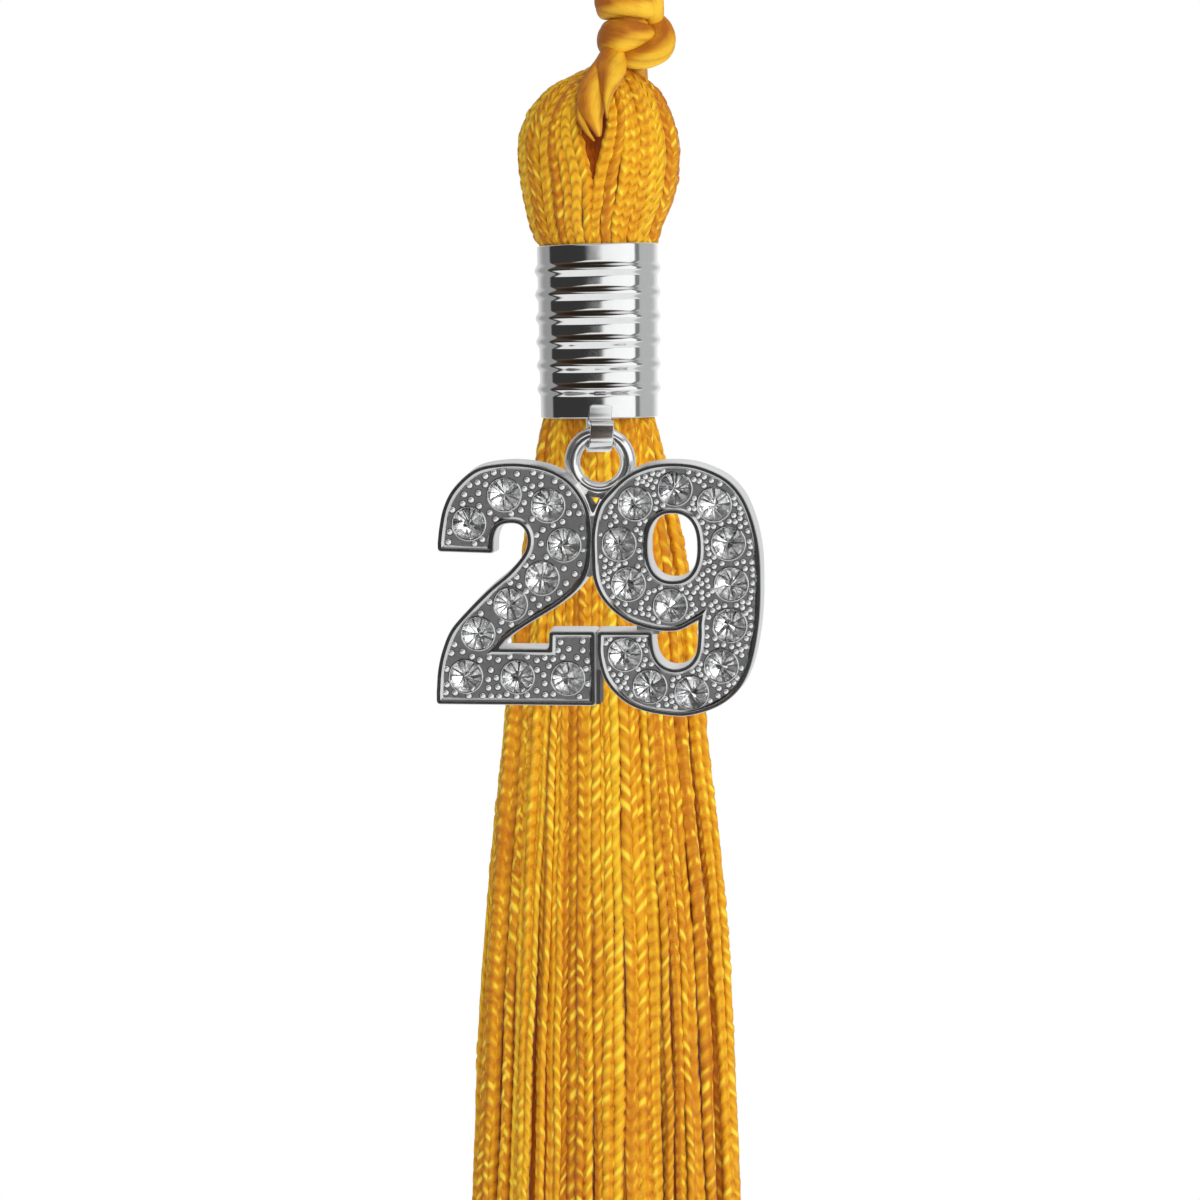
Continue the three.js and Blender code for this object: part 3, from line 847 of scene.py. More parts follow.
@dataclass(frozen=True)
class Chainette:
    """A yarn knitted as a chain. Its plump legs slant round both sides and meet in a V on the front."""

    stitch: float = 1.52 * MM
    rise: float = 0.7 * MM
    flatness: float = 0.86
    groove: float = 0.12
    side_groove: float = 0.4
    pit: float = 0.32
    pit_width: float = 0.4
    crease: float = 0.08
    uneven: float = 0.08
    skew: float = 0.45
    arch: float = 0.3
    vee: float = 0.74
    stitch_spread: Pair = (0.93, 1.12)
    span_spread: float = 0.22
    swell: float = 0.15
    end_fade: float = 2.5
    map_margin: float = 0.05
    seam_angles: tuple[float, ...] = (0, 38, 90, 142, 180, 218, 270, 322)

    def knit(
        self, draft: MeshDraft, course: Course, half_width: Array, roll: Array, tone: float, rings: int,
        column: tuple[int, int], rng: Rng, end: float = 1.0,
    ) -> None:
        """Adds one yarn to a draft.

        Args:
            draft: The draft of the piece.
            course: The line that the yarn follows.
            half_width: Half its width at each point of the line.
            roll: How far it is rolled about the line at each point.
            tone: How light it is.
            rings: Rows of points in each stitch.
            column: The yarn's number in its piece, and how many the piece has.
            rng: The source of its unevenness.
            end: The width of its last row, as a share.
        """
        stitches = max(2, round(course.length / (self.stitch * rng.uniform(*self.stitch_spread))))
        rows = stitches * rings + 1
        marks = np.concatenate([[0.0], np.cumsum(1 + rng.uniform(-1, 1, stitches) * self.span_spread)])
        marks *= course.length / marks[-1]
        count = np.arange(rows) / rings
        base = np.interp(count, np.arange(stitches + 1), marks)[:, None]
        angle = np.radians(self.seam_angles)[None, :]
        outward, sideways = np.cos(angle), np.sin(angle)
        fade = np.clip(np.minimum(base, course.length - base) / (self.end_fade * self.rise), 0, 1)
        slant = self.arch * np.abs(sideways) - self.vee * outward
        slant = slant + rng.uniform(-self.skew, self.skew) * sideways
        lengths = base - self.rise * slant * fade
        phase = (np.arange(rows) % rings / rings)[:, None]
        swell = self.swell - (1 + self.swell) * (1 - np.sin(math.pi * phase)) ** 2
        middle = np.exp(-((sideways / self.pit_width) ** 2))
        groove = self.groove * (1 - self.side_groove * sideways**2)
        depth = groove + (self.pit - groove) * middle
        rough = np.repeat(rng.normal(0, self.uneven, (stitches + 1, angle.size)), rings, axis=0)[:rows]
        reach = 1 + swell * depth - self.crease * middle + rough * (1 + swell)
        reach[-1] *= end
        width = np.interp(lengths, course.reached, half_width) * reach
        spin = np.interp(lengths, course.reached, roll)
        out = width * (outward * self.flatness * np.cos(spin) - sideways * np.sin(spin))
        side = width * (outward * self.flatness * np.sin(spin) + sideways * np.cos(spin))
        share = np.arange(angle.size + 1) / angle.size
        across = (column[0] + self.map_margin + (1 - 2 * self.map_margin) * share) / column[1]
        down = np.linspace(self.map_margin, 1 - self.map_margin, rows)
        lay, bake = (np.stack(np.meshgrid(*sides), -1) for sides in ((share, count), (across, down)))
        draft.grid(course.swept(lengths, out, side), lay, bake, tone=tone)


class SkirtRow(NamedTuple):
    """How far the outer strands reach at one drop below the ferrule, in mm."""

    drop: float
    side: float
    front: float
    back: float
    drift: float
    crowd: float


class StrandRing(NamedTuple):
    """A ring of strands: its name, how many, how far out, how finely made, and in how many pieces."""

    name: str
    count: int
    reach: float
    rings: int
    pieces: int


@dataclass
class Skirt:
    """The strands that hang from the neck, in rings from the outside in."""

    top: float
    end: float
    finish: Material
    core_finish: Material
    yarn: Chainette = field(default_factory=Chainette)
    rows: tuple[SkirtRow, ...] = tuple(map(SkirtRow._make, (
        (-1.6, 5.1, 4.0, 4.8, -0.1, 0), (0.3, 5.6, 4.1, 4.9, -0.1, 0), (4.2, 6.55, 4.6, 5.8, 0, 0.04),
        (14, 8.45, 4.6, 7.0, 0.3, 0.09), (36, 11.1, 4.75, 8.4, 0.45, 0.12),
        (51.5, 12.8, 5.5, 9.0, 0.72, 0.12), (80, 14.45, 7.1, 9.9, 0.88, 0.12),
        (191.6, 15.7, 9.4, 10.8, 1.1, 0.12),
    )))
    rings: tuple[StrandRing, ...] = tuple(map(StrandRing._make, (
        ("skirt_outer_yarns", 56, 1.0, 4, 3), ("skirt_middle_yarns", 54, 0.945, 2, 2),
        ("skirt_inner_yarns", 54, 0.83, 1, 1), ("skirt_core_yarns", 24, 0.45, 1, 1),
    )))
    half_width: Pair = (0.45 * MM, 0.73 * MM)
    neck_width: float = 0.5 * MM
    width_waves: tuple[Pair, ...] = ((0.07, 9 * MM), (0.05, 3.7 * MM))
    uneven_end: float = 1.3 * MM
    sway: float = 0.8 * MM
    ripple: float = 0.09 * MM
    sunk_share: float = 0.4
    sunk_depth: float = 0.11
    sunk_depths: Pair = (0.6, 1.0)
    level_depths: Pair = (0.0, 0.25)
    sunk_shade: float = 0.6
    spread: float = 0.25
    sway_waves: Pair = (22.0, 45.0)
    ripple_waves: Pair = (2.5, 5.0)
    ripple_start: float = 6.0
    wander: float = 0.15
    wander_waves: Pair = (14.0, 40.0)
    sunk_from: float = 8.0
    sunk_at_neck: float = 0.25
    uneven_from: float = 30.0
    neck_length: float = 12 * MM
    wave_spread: Pair = (0.8, 1.3)
    roll_length: float = 22 * MM
    course_points: int = 150
    plain_sides: int = 6
    plain_rows: int = 70
    plain_shade: float = 0.5
    plain_margin: float = 0.02
    seed: int = 11

    def course(self, ring: StrandRing, number: int, sunk: float, rng: Rng) -> Course:
        """The line of one strand.

        Args:
            ring: Its ring.
            number: Its number in the ring.
            sunk: How far it lies behind its neighbours, from 0 to 1.
            rng: The source of its sway.

        Returns:
            The line, from the neck down.
        """
        last = self.rows[-1].drop
        drops = np.linspace(self.rows[0].drop, last, self.course_points)
        low = np.clip(drops / last, 0, 1)
        even = (number + 0.5 * (ring.rings % 2) + rng.uniform(-self.spread, self.spread)) / ring.count * TURN
        side, front, back, drift, crowd = (column_at(self.rows, name, drops) for name in SkirtRow._fields[1:])
        phases = rng.uniform(0, TURN, 4)
        sway = self.sway / MM * low * np.sin(drops / rng.uniform(*self.sway_waves) + phases[0])
        ripple = self.ripple / MM * np.sin(drops / rng.uniform(*self.ripple_waves) + phases[1])
        sway = sway + ripple * np.clip(drops / self.ripple_start, 0, 1)
        angle = even + crowd * np.sin(2 * even) + sway / side
        wander = self.wander * (1 + np.sin(drops / rng.uniform(*self.wander_waves) + phases[2]))
        settled = np.clip(drops / self.sunk_from, self.sunk_at_neck, 1)
        reach = ring.reach * (1 - self.sunk_depth * (sunk + wander) * settled)
        depth = np.where(np.sin(angle) < 0, front, back)
        near_end = np.clip((drops - last + self.uneven_from) / self.uneven_from, 0, 1)
        path = np.stack([
            (drift + reach * side * np.cos(angle)) * MM,
            reach * depth * np.sin(angle) * MM,
            self.top - drops * MM + self.uneven_end * rng.uniform(-1, 1) * near_end,
        ], 1)
        path[:, 2] = np.maximum(path[:, 2], self.end)
        return Course(path, np.stack([np.cos(angle), np.sin(angle), np.zeros_like(angle)], 1))

    def build(self) -> None:
        """Makes the strands, a few pieces to each ring."""
        rng = np.random.default_rng(self.seed)
        for ring in self.rings:
            per_piece = math.ceil(ring.count / ring.pieces)
            for start in range(0, ring.count, per_piece):
                draft = MeshDraft()
                numbers = range(start, min(start + per_piece, ring.count))
                for number in numbers:
                    is_sunk = rng.random() < self.sunk_share
                    sunk = rng.uniform(*(self.sunk_depths if is_sunk else self.level_depths))
                    course = self.course(ring, number, sunk, rng)
                    # Sunk strands get a darker tone, as painted shade.
                    lightest = 1 - self.sunk_shade * sunk
                    self._strand(draft, course, ring, (number - start, len(numbers)), lightest, rng)
                name = ring.name if ring.pieces == 1 else f"{ring.name}_{start // per_piece + 1}"
                worn = self.finish if ring.rings > 1 else self.core_finish
                placed(draft.build(name, [worn]), Body.TASSEL, Slot.YARN, "yarn_tassel")

    def _strand(
        self, draft: MeshDraft, course: Course, ring: StrandRing, column: tuple[int, int],
        lightest: float, rng: Rng,
    ) -> None:
        """Adds one strand, knitted or, inside the skirt, plain.

        Args:
            draft: The draft of the piece.
            course: The line that the strand follows.
            ring: Its ring.
            column: Its number in its piece, and how many the piece has.
            lightest: How light it can be, lower on sunk strands as painted shade.
            rng: The source of its unevenness.
        """
        full = rng.uniform(*self.half_width)
        width = np.interp(course.reached, (0, self.neck_length), (self.neck_width, full))
        for share, length in self.width_waves:
            wave = length * rng.uniform(*self.wave_spread)
            width = width * (1 + share * np.sin(course.reached / wave + rng.uniform(0, TURN)))
        roll = rng.uniform(0, TURN) + rng.uniform(-1, 1) * course.reached / self.roll_length
        tone = rng.uniform(0, lightest)
        if ring.rings > 1:
            self.yarn.knit(draft, course, width, roll, tone, ring.rings, column, rng)
            return
        angle = turn_angles(self.plain_sides)
        lengths = np.linspace(0, course.length, self.plain_rows)[:, None] + 0 * angle
        wide = np.interp(lengths, course.reached, width)
        share = np.arange(self.plain_sides + 1) / self.plain_sides
        margin = self.yarn.map_margin
        across = (column[0] + margin + (1 - 2 * margin) * share) / column[1]
        down = np.linspace(self.plain_margin, 1 - self.plain_margin, self.plain_rows)
        sides = (share, lengths[:, 0] / self.yarn.stitch), (across, down)
        maps = (np.stack(np.meshgrid(*pair), -1) for pair in sides)
        points = course.swept(lengths, wide * np.cos(angle), wide * np.sin(angle))
        # Plain inner strands are darker, as painted shade inside the skirt.
        draft.grid(points, *maps, tone=tone * self.plain_shade)


class HeadRow(NamedTuple):
    """How far the folded yarns reach each way at one drop below the head's top, in mm."""

    drop: float
    left: float
    right: float
    front: float
    back: float


@dataclass
class YarnHead:
    """The folded yarns over the cord, down to where the ferrule grips them."""

    top: float
    finish: Material
    core_finish: Material
    yarn: Chainette = field(default_factory=lambda: Chainette(stitch=1.2 * MM, rise=0.95 * MM, groove=0.1))
    rows: tuple[HeadRow, ...] = tuple(map(HeadRow._make, (
        (0, -0.2, 2.6, 1.2, 1.4), (0.8, -1.8, 3.8, 2.9, 3.1), (2.7, -5.3, 6.1, 5.2, 5.4),
        (4.6, -7.05, 7.25, 6.5, 6.6), (6.5, -8.1, 7.95, 7.2, 7.3), (8.8, -8.65, 8.4, 7.7, 7.7),
        (11.6, -8.5, 8.35, 7.8, 7.8), (14.6, -8.05, 7.75, 7.4, 7.4), (17.4, -7.4, 6.6, 6.6, 6.6),
        (18.9, -6.75, 6.2, 6.2, 6.2), (19.6, -6.2, 5.8, 5.8, 5.8), (20.4, -5.6, 5.4, 5.4, 5.5),
        (22, -5.5, 5.3, 5.3, 5.4),
    )))
    count: int = 40
    inset: float = 0.5
    sunk: float = 0.45
    core_inset: float = 1.05
    parting: tuple[Pair, ...] = (
        (1.5, 0.0), (4.5, 0.17), (5.6, 0.21), (7.0, 0.2), (8.5, 0.15), (10.5, 0.075),
        (12.5, 0.02), (13.5, 0.0),
    )
    parting_angle: float = math.radians(-96.5)
    parting_spread: float = 0.42
    hollow: float = 2.6
    widest: float = 0.7 * MM
    narrowest: float = 0.4 * MM
    fill: float = 0.56
    top_draw: float = 0.6
    top_depth: float = 2.0
    sunk_depth: float = 3.0
    uneven_inset: float = 0.12
    spread: float = 0.16
    sway: float = 0.012
    sway_waves: Pair = (1.5, 3.0)
    turn_spread: float = 0.35
    roll_spread: float = 0.3
    roll_length: float = 10 * MM
    stitch_rings: int = 4
    top_width: float = 0.5
    course_points: int = 120
    crowding: float = 1.25
    core_rows: int = 40
    core_columns: int = 72
    core_flutes: float = 0.12
    core_stitch: float = 1.4
    core_shade: float = 0.9
    hollow_edge: float = 0.12
    hollow_rate: float = 6.0
    core_top_inset: float = 0.35
    seed: int = 5

    def surface(self, drops: Array, angle: Array, inset: Array | float) -> Array:
        """Points on the head, some way under its surface.

        Args:
            drops: How far below the top each one is, in mm.
            angle: Its angle round the axis.
            inset: How far under the surface it lies, in mm.

        Returns:
            The points.
        """
        left, right, front, back = (column_at(self.rows, name, drops) for name in HeadRow._fields[1:])
        depth = np.where(np.sin(angle) < 0, front, back)
        drawn = self.top_draw * inset * np.exp(-drops / self.top_depth)
        return np.stack([
            ((left + right) / 2 + ((right - left) / 2 - inset) * np.cos(angle)) * MM,
            (depth - inset) * np.sin(angle) * MM,
            self.top - drops * MM - drawn * MM,
        ], -1)

    def _off_parting(self, angle: Array | float) -> Array | float:
        """How far an angle is from the parting, to either side."""
        return (angle - self.parting_angle + math.pi) % TURN - math.pi

    def course(self, number: int, rng: Rng) -> tuple[Course, Array]:
        """The line of one yarn, from the ferrule up to the cord.

        Args:
            number: The yarn's number.
            rng: The source of its sway.

        Returns:
            The line, and the room that the yarn has at each point of it.
        """
        low = 1 - np.linspace(0, 1, self.course_points)
        drops = self.rows[-1].drop * low**self.crowding
        base = (number + rng.uniform(-self.spread, self.spread)) / self.count * TURN
        off = self._off_parting(base)
        push = np.interp(drops, *zip(*self.parting))
        angle = base + push * math.copysign(1, off) * math.exp(-((off / self.parting_spread) ** 2))
        angle = angle + self.sway * np.sin(drops / rng.uniform(*self.sway_waves) + rng.uniform(0, TURN))
        sunk = self.sunk * (number % 2) * np.exp(-drops / self.sunk_depth) + rng.uniform(0, self.uneven_inset)
        path, under = (self.surface(drops, angle, self.inset + sunk + deeper) for deeper in (0.0, 1.0))
        side = (column_at(self.rows, "right", drops) - column_at(self.rows, "left", drops)) / 2
        room = TURN * (side + column_at(self.rows, "front", drops)) / 2 / self.count * MM
        beside = np.stack([-np.sin(angle), np.cos(angle), np.zeros_like(angle)], 1)
        facing = np.cross(beside, np.gradient(path, axis=0))
        facing = facing * np.sign(np.sum(facing * (path - under), axis=1, keepdims=True))
        return Course(path, facing), room

    def build(self) -> None:
        """Makes the yarns and the bundle under them."""
        rng = np.random.default_rng(self.seed)
        draft = MeshDraft()
        for number in range(self.count):
            course, room = self.course(number, rng)
            width = np.clip(room * self.fill, self.narrowest, self.widest)
            roll = rng.choice((0, math.pi)) + rng.normal(0, self.turn_spread)
            roll = roll + rng.normal(0, self.roll_spread) * course.reached / self.roll_length
            column = number, self.count
            tone = rng.uniform(0, 1)
            self.yarn.knit(draft, course, width, roll, tone, self.stitch_rings, column, rng, self.top_width)
        placed(draft.build("head_yarns", [self.finish]), Body.TASSEL, Slot.YARN, "yarn_tassel")
        self._build_core()

    def _build_core(self) -> None:
        """Makes the bundle under the yarns, pressed in at the parting, whose low tone and painted shade make
        it show dark between them.
        """
        drops = (np.linspace(0, 1, self.core_rows) * self.rows[-1].drop)[:, None]
        angle = turn_angles(self.core_columns)[None, :]
        open_width = np.interp(drops, *zip(*self.parting))
        near_parting = np.exp(-((self._off_parting(angle) / (self.hollow_edge + open_width)) ** 2))
        hollow = np.clip(open_width * self.hollow_rate, 0, 1) * near_parting
        inset = self.core_inset + self.hollow * hollow + self.core_flutes * np.sin(angle * self.count)
        inset = np.minimum(inset, self.core_top_inset + drops)
        points = self.surface(drops + 0 * angle, angle + 0 * drops, inset)
        share = np.arange(self.core_columns + 1) / self.core_columns
        lay = np.stack(np.meshgrid(share * self.count, drops[:, 0] / self.core_stitch), -1)
        draft = MeshDraft()
        # A zero tone and a high pit paint shade on the bundle.
        draft.grid(points[::-1], lay[::-1], tone=0.0, pit=self.core_shade)
        placed(draft.build("head_core", [self.core_finish]), Body.TASSEL, Slot.YARN, "yarn_tassel")


# Cord


@dataclass(frozen=True)
class Rope:
    """The section of a cord of plump twisted plies. Its tone paints a sheen on the side that faces its shine
    direction, and its pit paints shade in the grooves between plies.
    """

    plies: int = 3
    ply_size: float = 0.6
    ply_reach: float = 0.4
    lay: float = 18 * MM
    columns: int = 36
    spacing: float = 0.35 * MM
    shine: Triple = (0.5, -0.25, -0.85)
    map_length: float = 4 * MM
    map_shift: float = 5.0

    def lay_on(
        self, draft: MeshDraft, course: Course, thick: Array, wide: Array,
        turned: float = 0.0, ring: bool = False,
    ) -> None:
        """Adds a stretch of cord to a draft.

        Args:
            draft: The draft of the piece.
            course: The cord's middle line.
            thick: Half its thickness in the facing direction, at each point of the line.
            wide: Half its width across, at each point of the line.
            turned: The angle of its first ply at the start.
            ring: Whether its end joins its start.
        """
        angle = turn_angles(self.columns)[None, :]
        rows = len(course.path)
        turns = course.length / self.lay
        if ring:
            turns = max(1, round(turns * self.plies)) / self.plies
        spin = (turned + turns * TURN * course.reached / course.length)[:, None]
        near = (angle + TURN / self.plies / 2) % (TURN / self.plies) - TURN / self.plies / 2
        inner = self.ply_size**2 - (self.ply_reach * np.sin(near)) ** 2
        reach = self.ply_reach * np.cos(near) + np.sqrt(inner)
        depth = (reach.max() - reach) / (reach.max() - reach.min())
        out = thick[:, None] * reach * np.cos(angle + spin)
        side = wide[:, None] * reach * np.sin(angle + spin)
        away = course.facing[:, None, :] * out[..., None] + course.across[:, None, :] * side[..., None]
        # The tone paints a sheen: lighter where the surface faces the shine direction.
        tone = 0.5 + 0.5 * unit(away) @ np.array(self.shine)
        share = np.arange(self.columns + 1) / self.columns
        lengths = np.append(course.reached, course.length + self.spacing)[:rows + ring]
        lay = np.stack(np.meshgrid(share, lengths / self.map_length + turned * self.map_shift), -1)
        # Painted shade: the deeper in a groove between plies, the higher the pit.
        pits = np.broadcast_to(depth**2, (rows, self.columns)).ravel()
        draft.grid(course.path[:, None, :] + away, lay, ring=ring, tone=tone, pit=pits)


class KnotStretch(NamedTuple):
    """A stretch of cord in the knot, in mm: its points over the head's top, half its width and thickness."""

    name: str
    points: tuple[Triple, ...]
    wide: tuple[float, ...]
    thick: tuple[float, ...]
    turned: float = 0.0
    facing: Triple = (0.0, -1.0, 0.0)


class KnotWrap(NamedTuple):
    """A turn of cord round the knot, in mm from the head's top. It is less tall on the right by its taper."""

    centre: Triple
    reach: Pair
    tall: float
    thick: float
    tilt: float
    taper: float
    turned: float


SATIN_ROPE = Rope(ply_size=0.82, ply_reach=0.18, lay=26 * MM, columns=48, spacing=0.25 * MM)


@dataclass
class Knot:
    """The knot over the head and the two legs of cord that go down into the yarn."""

    head_top: float
    finish: Material
    rope: Rope = SATIN_ROPE
    # The legs' painted sheen faces another way.
    leg_rope: Rope = replace(SATIN_ROPE, shine=(0.4, -0.6, 0.1))
    wrap_steps: int = 96
    core: KnotStretch = KnotStretch(
        "core", ((2.6, -0.2, -0.6), (3.1, 0, 4), (3.3, 0, 8.2)), (2.0, 2.2, 2.1), (2.0, 2.2, 2.1), 0.3
    )
    lobe: KnotStretch = KnotStretch(
        "right lobe",
        ((4.7, 0.3, 5.6), (5.3, 0.0, 4.2), (5.8, -0.5, 3.1), (5.95, -1.0, 2.1), (5.5, -1.7, 1.2),
         (4.5, -2.2, 0.6), (3.3, -2.2, 0.4), (2.0, -1.4, 0.8)),
        (1.1, 1.5, 1.95, 2.25, 2.35, 2.1, 1.5, 0.75),
        (0.9, 0.95, 0.95, 0.9, 0.9, 0.9, 0.8, 0.6),
        0.5,
    )
    riser: KnotStretch = KnotStretch(
        "right riser",
        ((5.4, -1.5, 8.3), (5.4, -1.75, 6.8), (5.5, -1.45, 5.4), (5.5, -0.45, 4.3), (5.5, 0.8, 3.3)),
        (1.25, 1.3, 1.35, 1.25, 0.9),
        (0.7, 0.75, 0.75, 0.7, 0.5),
        0.9,
    )
    wraps: tuple[KnotWrap, ...] = (
        KnotWrap((3.05, 0, 6.1), (2.6, 2.15), 1.75, 1.1, -0.03, 0.0, 0.4),
        KnotWrap((2.8, -0.3, 2.6), (2.05, 2.25), 1.9, 1.1, 0.14, 0.45, 1.3),
    )
    legs: tuple[KnotStretch, ...] = (
        KnotStretch(
            "front leg left bundle",
            ((0.94, -1.7, 1.1), (0.6, -2.6, 0.2), (0.2, -3.4, -0.7), (-0.3, -4.3, -1.6),
             (-0.95, -5.7, -3.2), (-0.9, -6.8, -4.8), (-0.65, -7.4, -6.4), (-0.3, -7.65, -7.4),
             (-0.1, -7.2, -8.1)),
            (0.75, 0.95, 1.05, 1.1, 1.25, 1.5, 1.35, 0.85, 0.27),
            (0.6, 0.7, 0.8, 0.85, 0.9, 0.85, 0.75, 0.55, 0.25),
        ),
        KnotStretch(
            "front leg right bundle",
            ((1.57, -2.0, 1.1), (1.3, -3.2, 0.0), (1.1, -4.9, -1.7), (0.8, -6.5, -3.35),
             (0.65, -7.5, -4.75), (0.68, -7.9, -5.7), (0.67, -7.4, -6.3)),
            (1.2, 1.55, 1.7, 1.25, 0.72, 0.32, 0.1),
            (0.6, 0.75, 0.85, 0.8, 0.55, 0.3, 0.1),
            0.6,
        ),
        KnotStretch(
            "front leg thin bundle",
            ((-1.98, -5.6, -3.7), (-2.2, -6.5, -5.0), (-2.05, -7.2, -6.3), (-1.45, -7.9, -7.55),
             (-0.6, -8.1, -8.7)),
            (0.2, 0.35, 0.4, 0.3, 0.1),
            (0.2, 0.35, 0.4, 0.3, 0.1),
        ),
        KnotStretch(
            "back leg",
            ((3.3, 1.2, 1.8), (3.7, 4.0, -0.6), (3.4, 6.6, -3.6), (2.6, 7.9, -6.2), (2.0, 7.4, -8.4)),
            (1.3, 1.4, 1.5, 1.3, 0.5),
            (1.2, 1.3, 1.3, 1.1, 0.5),
            0.2,
            (0.0, 1.0, 0.0),
        ),
    )

    def _stretch(self, draft: MeshDraft, stretch: KnotStretch, rope: Rope) -> None:
        """Adds an open stretch of cord.

        Args:
            draft: The draft of the piece.
            stretch: The stretch.
            rope: The section of its cord.
        """
        path = smooth_route(np.array(stretch.points) * MM + (0, 0, self.head_top), rope.spacing)
        course = Course.carried(path, stretch.facing)
        place = np.linspace(0, 1, len(stretch.wide))
        share = course.reached / course.length
        thick, wide = (np.interp(share, place, halves) * MM for halves in (stretch.thick, stretch.wide))
        rope.lay_on(draft, course, thick, wide, stretch.turned)
        LOG.info("%s: %.1f mm of cord", stretch.name, course.length / MM)

    def _wrap(self, draft: MeshDraft, wrap: KnotWrap) -> None:
        """Adds a turn of cord round the knot.

        Args:
            draft: The draft of the piece.
            wrap: The turn.
        """
        around = turn_angles(self.wrap_steps) + math.pi / 2
        right, back = np.cos(around), np.sin(around)
        path = np.stack([
            wrap.centre[0] + wrap.reach[0] * right,
            wrap.centre[1] + wrap.reach[1] * back,
            wrap.centre[2] + wrap.reach[0] * wrap.tilt * right,
        ], 1) * MM + (0, 0, self.head_top)
        course = Course(path, np.stack([right, back, 0 * around], 1))
        course.along = unit(np.roll(path, -1, axis=0) - np.roll(path, 1, axis=0))
        course.across = np.cross(course.along, course.facing)
        tall = wrap.tall * (1 - wrap.taper * (0.5 + 0.5 * right) ** 2)
        thick = np.full(self.wrap_steps, wrap.thick * MM)
        self.rope.lay_on(draft, course, thick, tall * MM, wrap.turned, ring=True)

    def build(self) -> None:
        """Makes the knot and the legs."""
        knot = MeshDraft()
        self._stretch(knot, self.core, self.rope)
        for wrap in self.wraps:
            self._wrap(knot, wrap)
        for stretch in (self.lobe, self.riser):
            self._stretch(knot, stretch, self.rope)
        placed(knot.build("satin_knot", [self.finish]), Body.TASSEL, Slot.CORD, "cord_knot")
        legs = MeshDraft()
        for leg in self.legs:
            self._stretch(legs, leg, self.leg_rope)
        placed(legs.build("satin_legs", [self.finish]), Body.TASSEL, Slot.CORD, "cord_knot")


@dataclass
class HangingCord:
    """The free loop of twisted cord above the knot."""

    head_top: float
    finish: Material
    rope: Rope = Rope(spacing=0.6 * MM)
    diameter: float = 3.2 * MM
    route: tuple[Pair, ...] = (
        (1.5, 8.3), (1.3, 14), (0.2, 26), (-1.9, 42), (-3.9, 58), (-5.6, 74), (-6.8, 88), (-7.1, 98),
        (-5.6, 105.6), (-2.6, 109.7), (0, 110.4), (2.6, 109.7), (5.6, 105.6), (7.1, 98), (6.9, 88),
        (6.5, 74), (6.0, 58), (5.6, 42), (5.3, 26), (5.2, 14), (5.1, 8.3),
    )

    def build(self) -> None:
        points = [(x * MM, 0.0, self.head_top + up * MM) for x, up in self.route]
        path = smooth_route(points, self.rope.spacing)
        course = Course.carried(path, (0, -1, 0))
        half = np.full(len(path), self.diameter / 2)
        draft = MeshDraft()
        self.rope.lay_on(draft, course, half, half)
        piece = placed(draft.build("hanging_cord", [self.finish]), Body.TASSEL, Slot.CORD, "hanging_loop")
        LOG.info("cord of %.3f m", course.length)


# Metal


@dataclass
class Ferrule:
    """The ribbed metal tube that grips the neck, leaning a little as it was crimped on."""

    top: float
    bottom: float
    finish: Material
    top_radius: float = 6.4 * MM
    bottom_radius: float = 6.2 * MM
    wall: float = 0.37 * MM
    ribs: int = 6
    first_rib: float = 2.6 * MM
    rib_pitch: float = 2.51 * MM
    rib_rise: float = 0.31 * MM
    rib_half: float = 0.82 * MM
    lip: float = 0.1 * MM
    top_lean: float = 0.03
    bottom_lean: float = 0.012
    top_shift: float = -0.28 * MM
    bottom_shift: float = -0.06 * MM
    sectors: int = 144
    rib_points: int = 19
    rib_margin: float = 1.1
    lip_steps: Pair = (1.0, 1.6)
    lip_round: float = 0.3
    crease: float = 50

    def _outside(self) -> Array:
        """The outer profile, from the top down.

        Returns:
            Its radii and heights.
        """
        height = self.top - self.bottom
        near_lip = self.lip * np.array(self.lip_steps)
        middles = self.first_rib + np.arange(self.ribs) * self.rib_pitch
        across = np.linspace(-self.rib_margin, self.rib_margin, self.rib_points) * self.rib_half
        drops = np.sort(np.concatenate([near_lip, height - near_lip, (middles[:, None] + across).ravel()]))
        off = np.min(np.abs(drops[:, None] - middles), axis=1) / self.rib_half
        rise = self.rib_rise * (0.5 + 0.5 * np.cos(math.pi * np.minimum(off, 1)))
        radius = self.top_radius + (self.bottom_radius - self.top_radius) * drops / height + rise
        return np.stack([radius, self.top - drops], 1)

    def build(self) -> None:
        """Makes the tube."""
        lip, wall, near = self.lip, self.wall, self.lip_round * self.lip
        top_end, bottom_end = (
            np.array([
                (radius - near, level + near * down), (radius - lip, level),
                (radius - wall + lip, level), (radius - wall, level + lip * down),
            ])
            for radius, level, down in ((self.top_radius, self.top, -1), (self.bottom_radius, self.bottom, 1))
        )
        profile = np.vstack([self._outside(), bottom_end, top_end[::-1]])
        points = turned_rows(profile[::-1], self.sectors)
        share = (self.top - points[..., 2]) / (self.top - self.bottom)
        points[..., 2] += points[..., 0] * (self.top_lean + (self.bottom_lean - self.top_lean) * share)
        points[..., 0] += self.top_shift + (self.bottom_shift - self.top_shift) * share
        draft = MeshDraft()
        draft.grid(points, ring=True)
        piece = draft.build("ribbed_ferrule", [self.finish], self.crease)
        placed(piece, Body.TASSEL, Slot.CHROME, "ferrule")


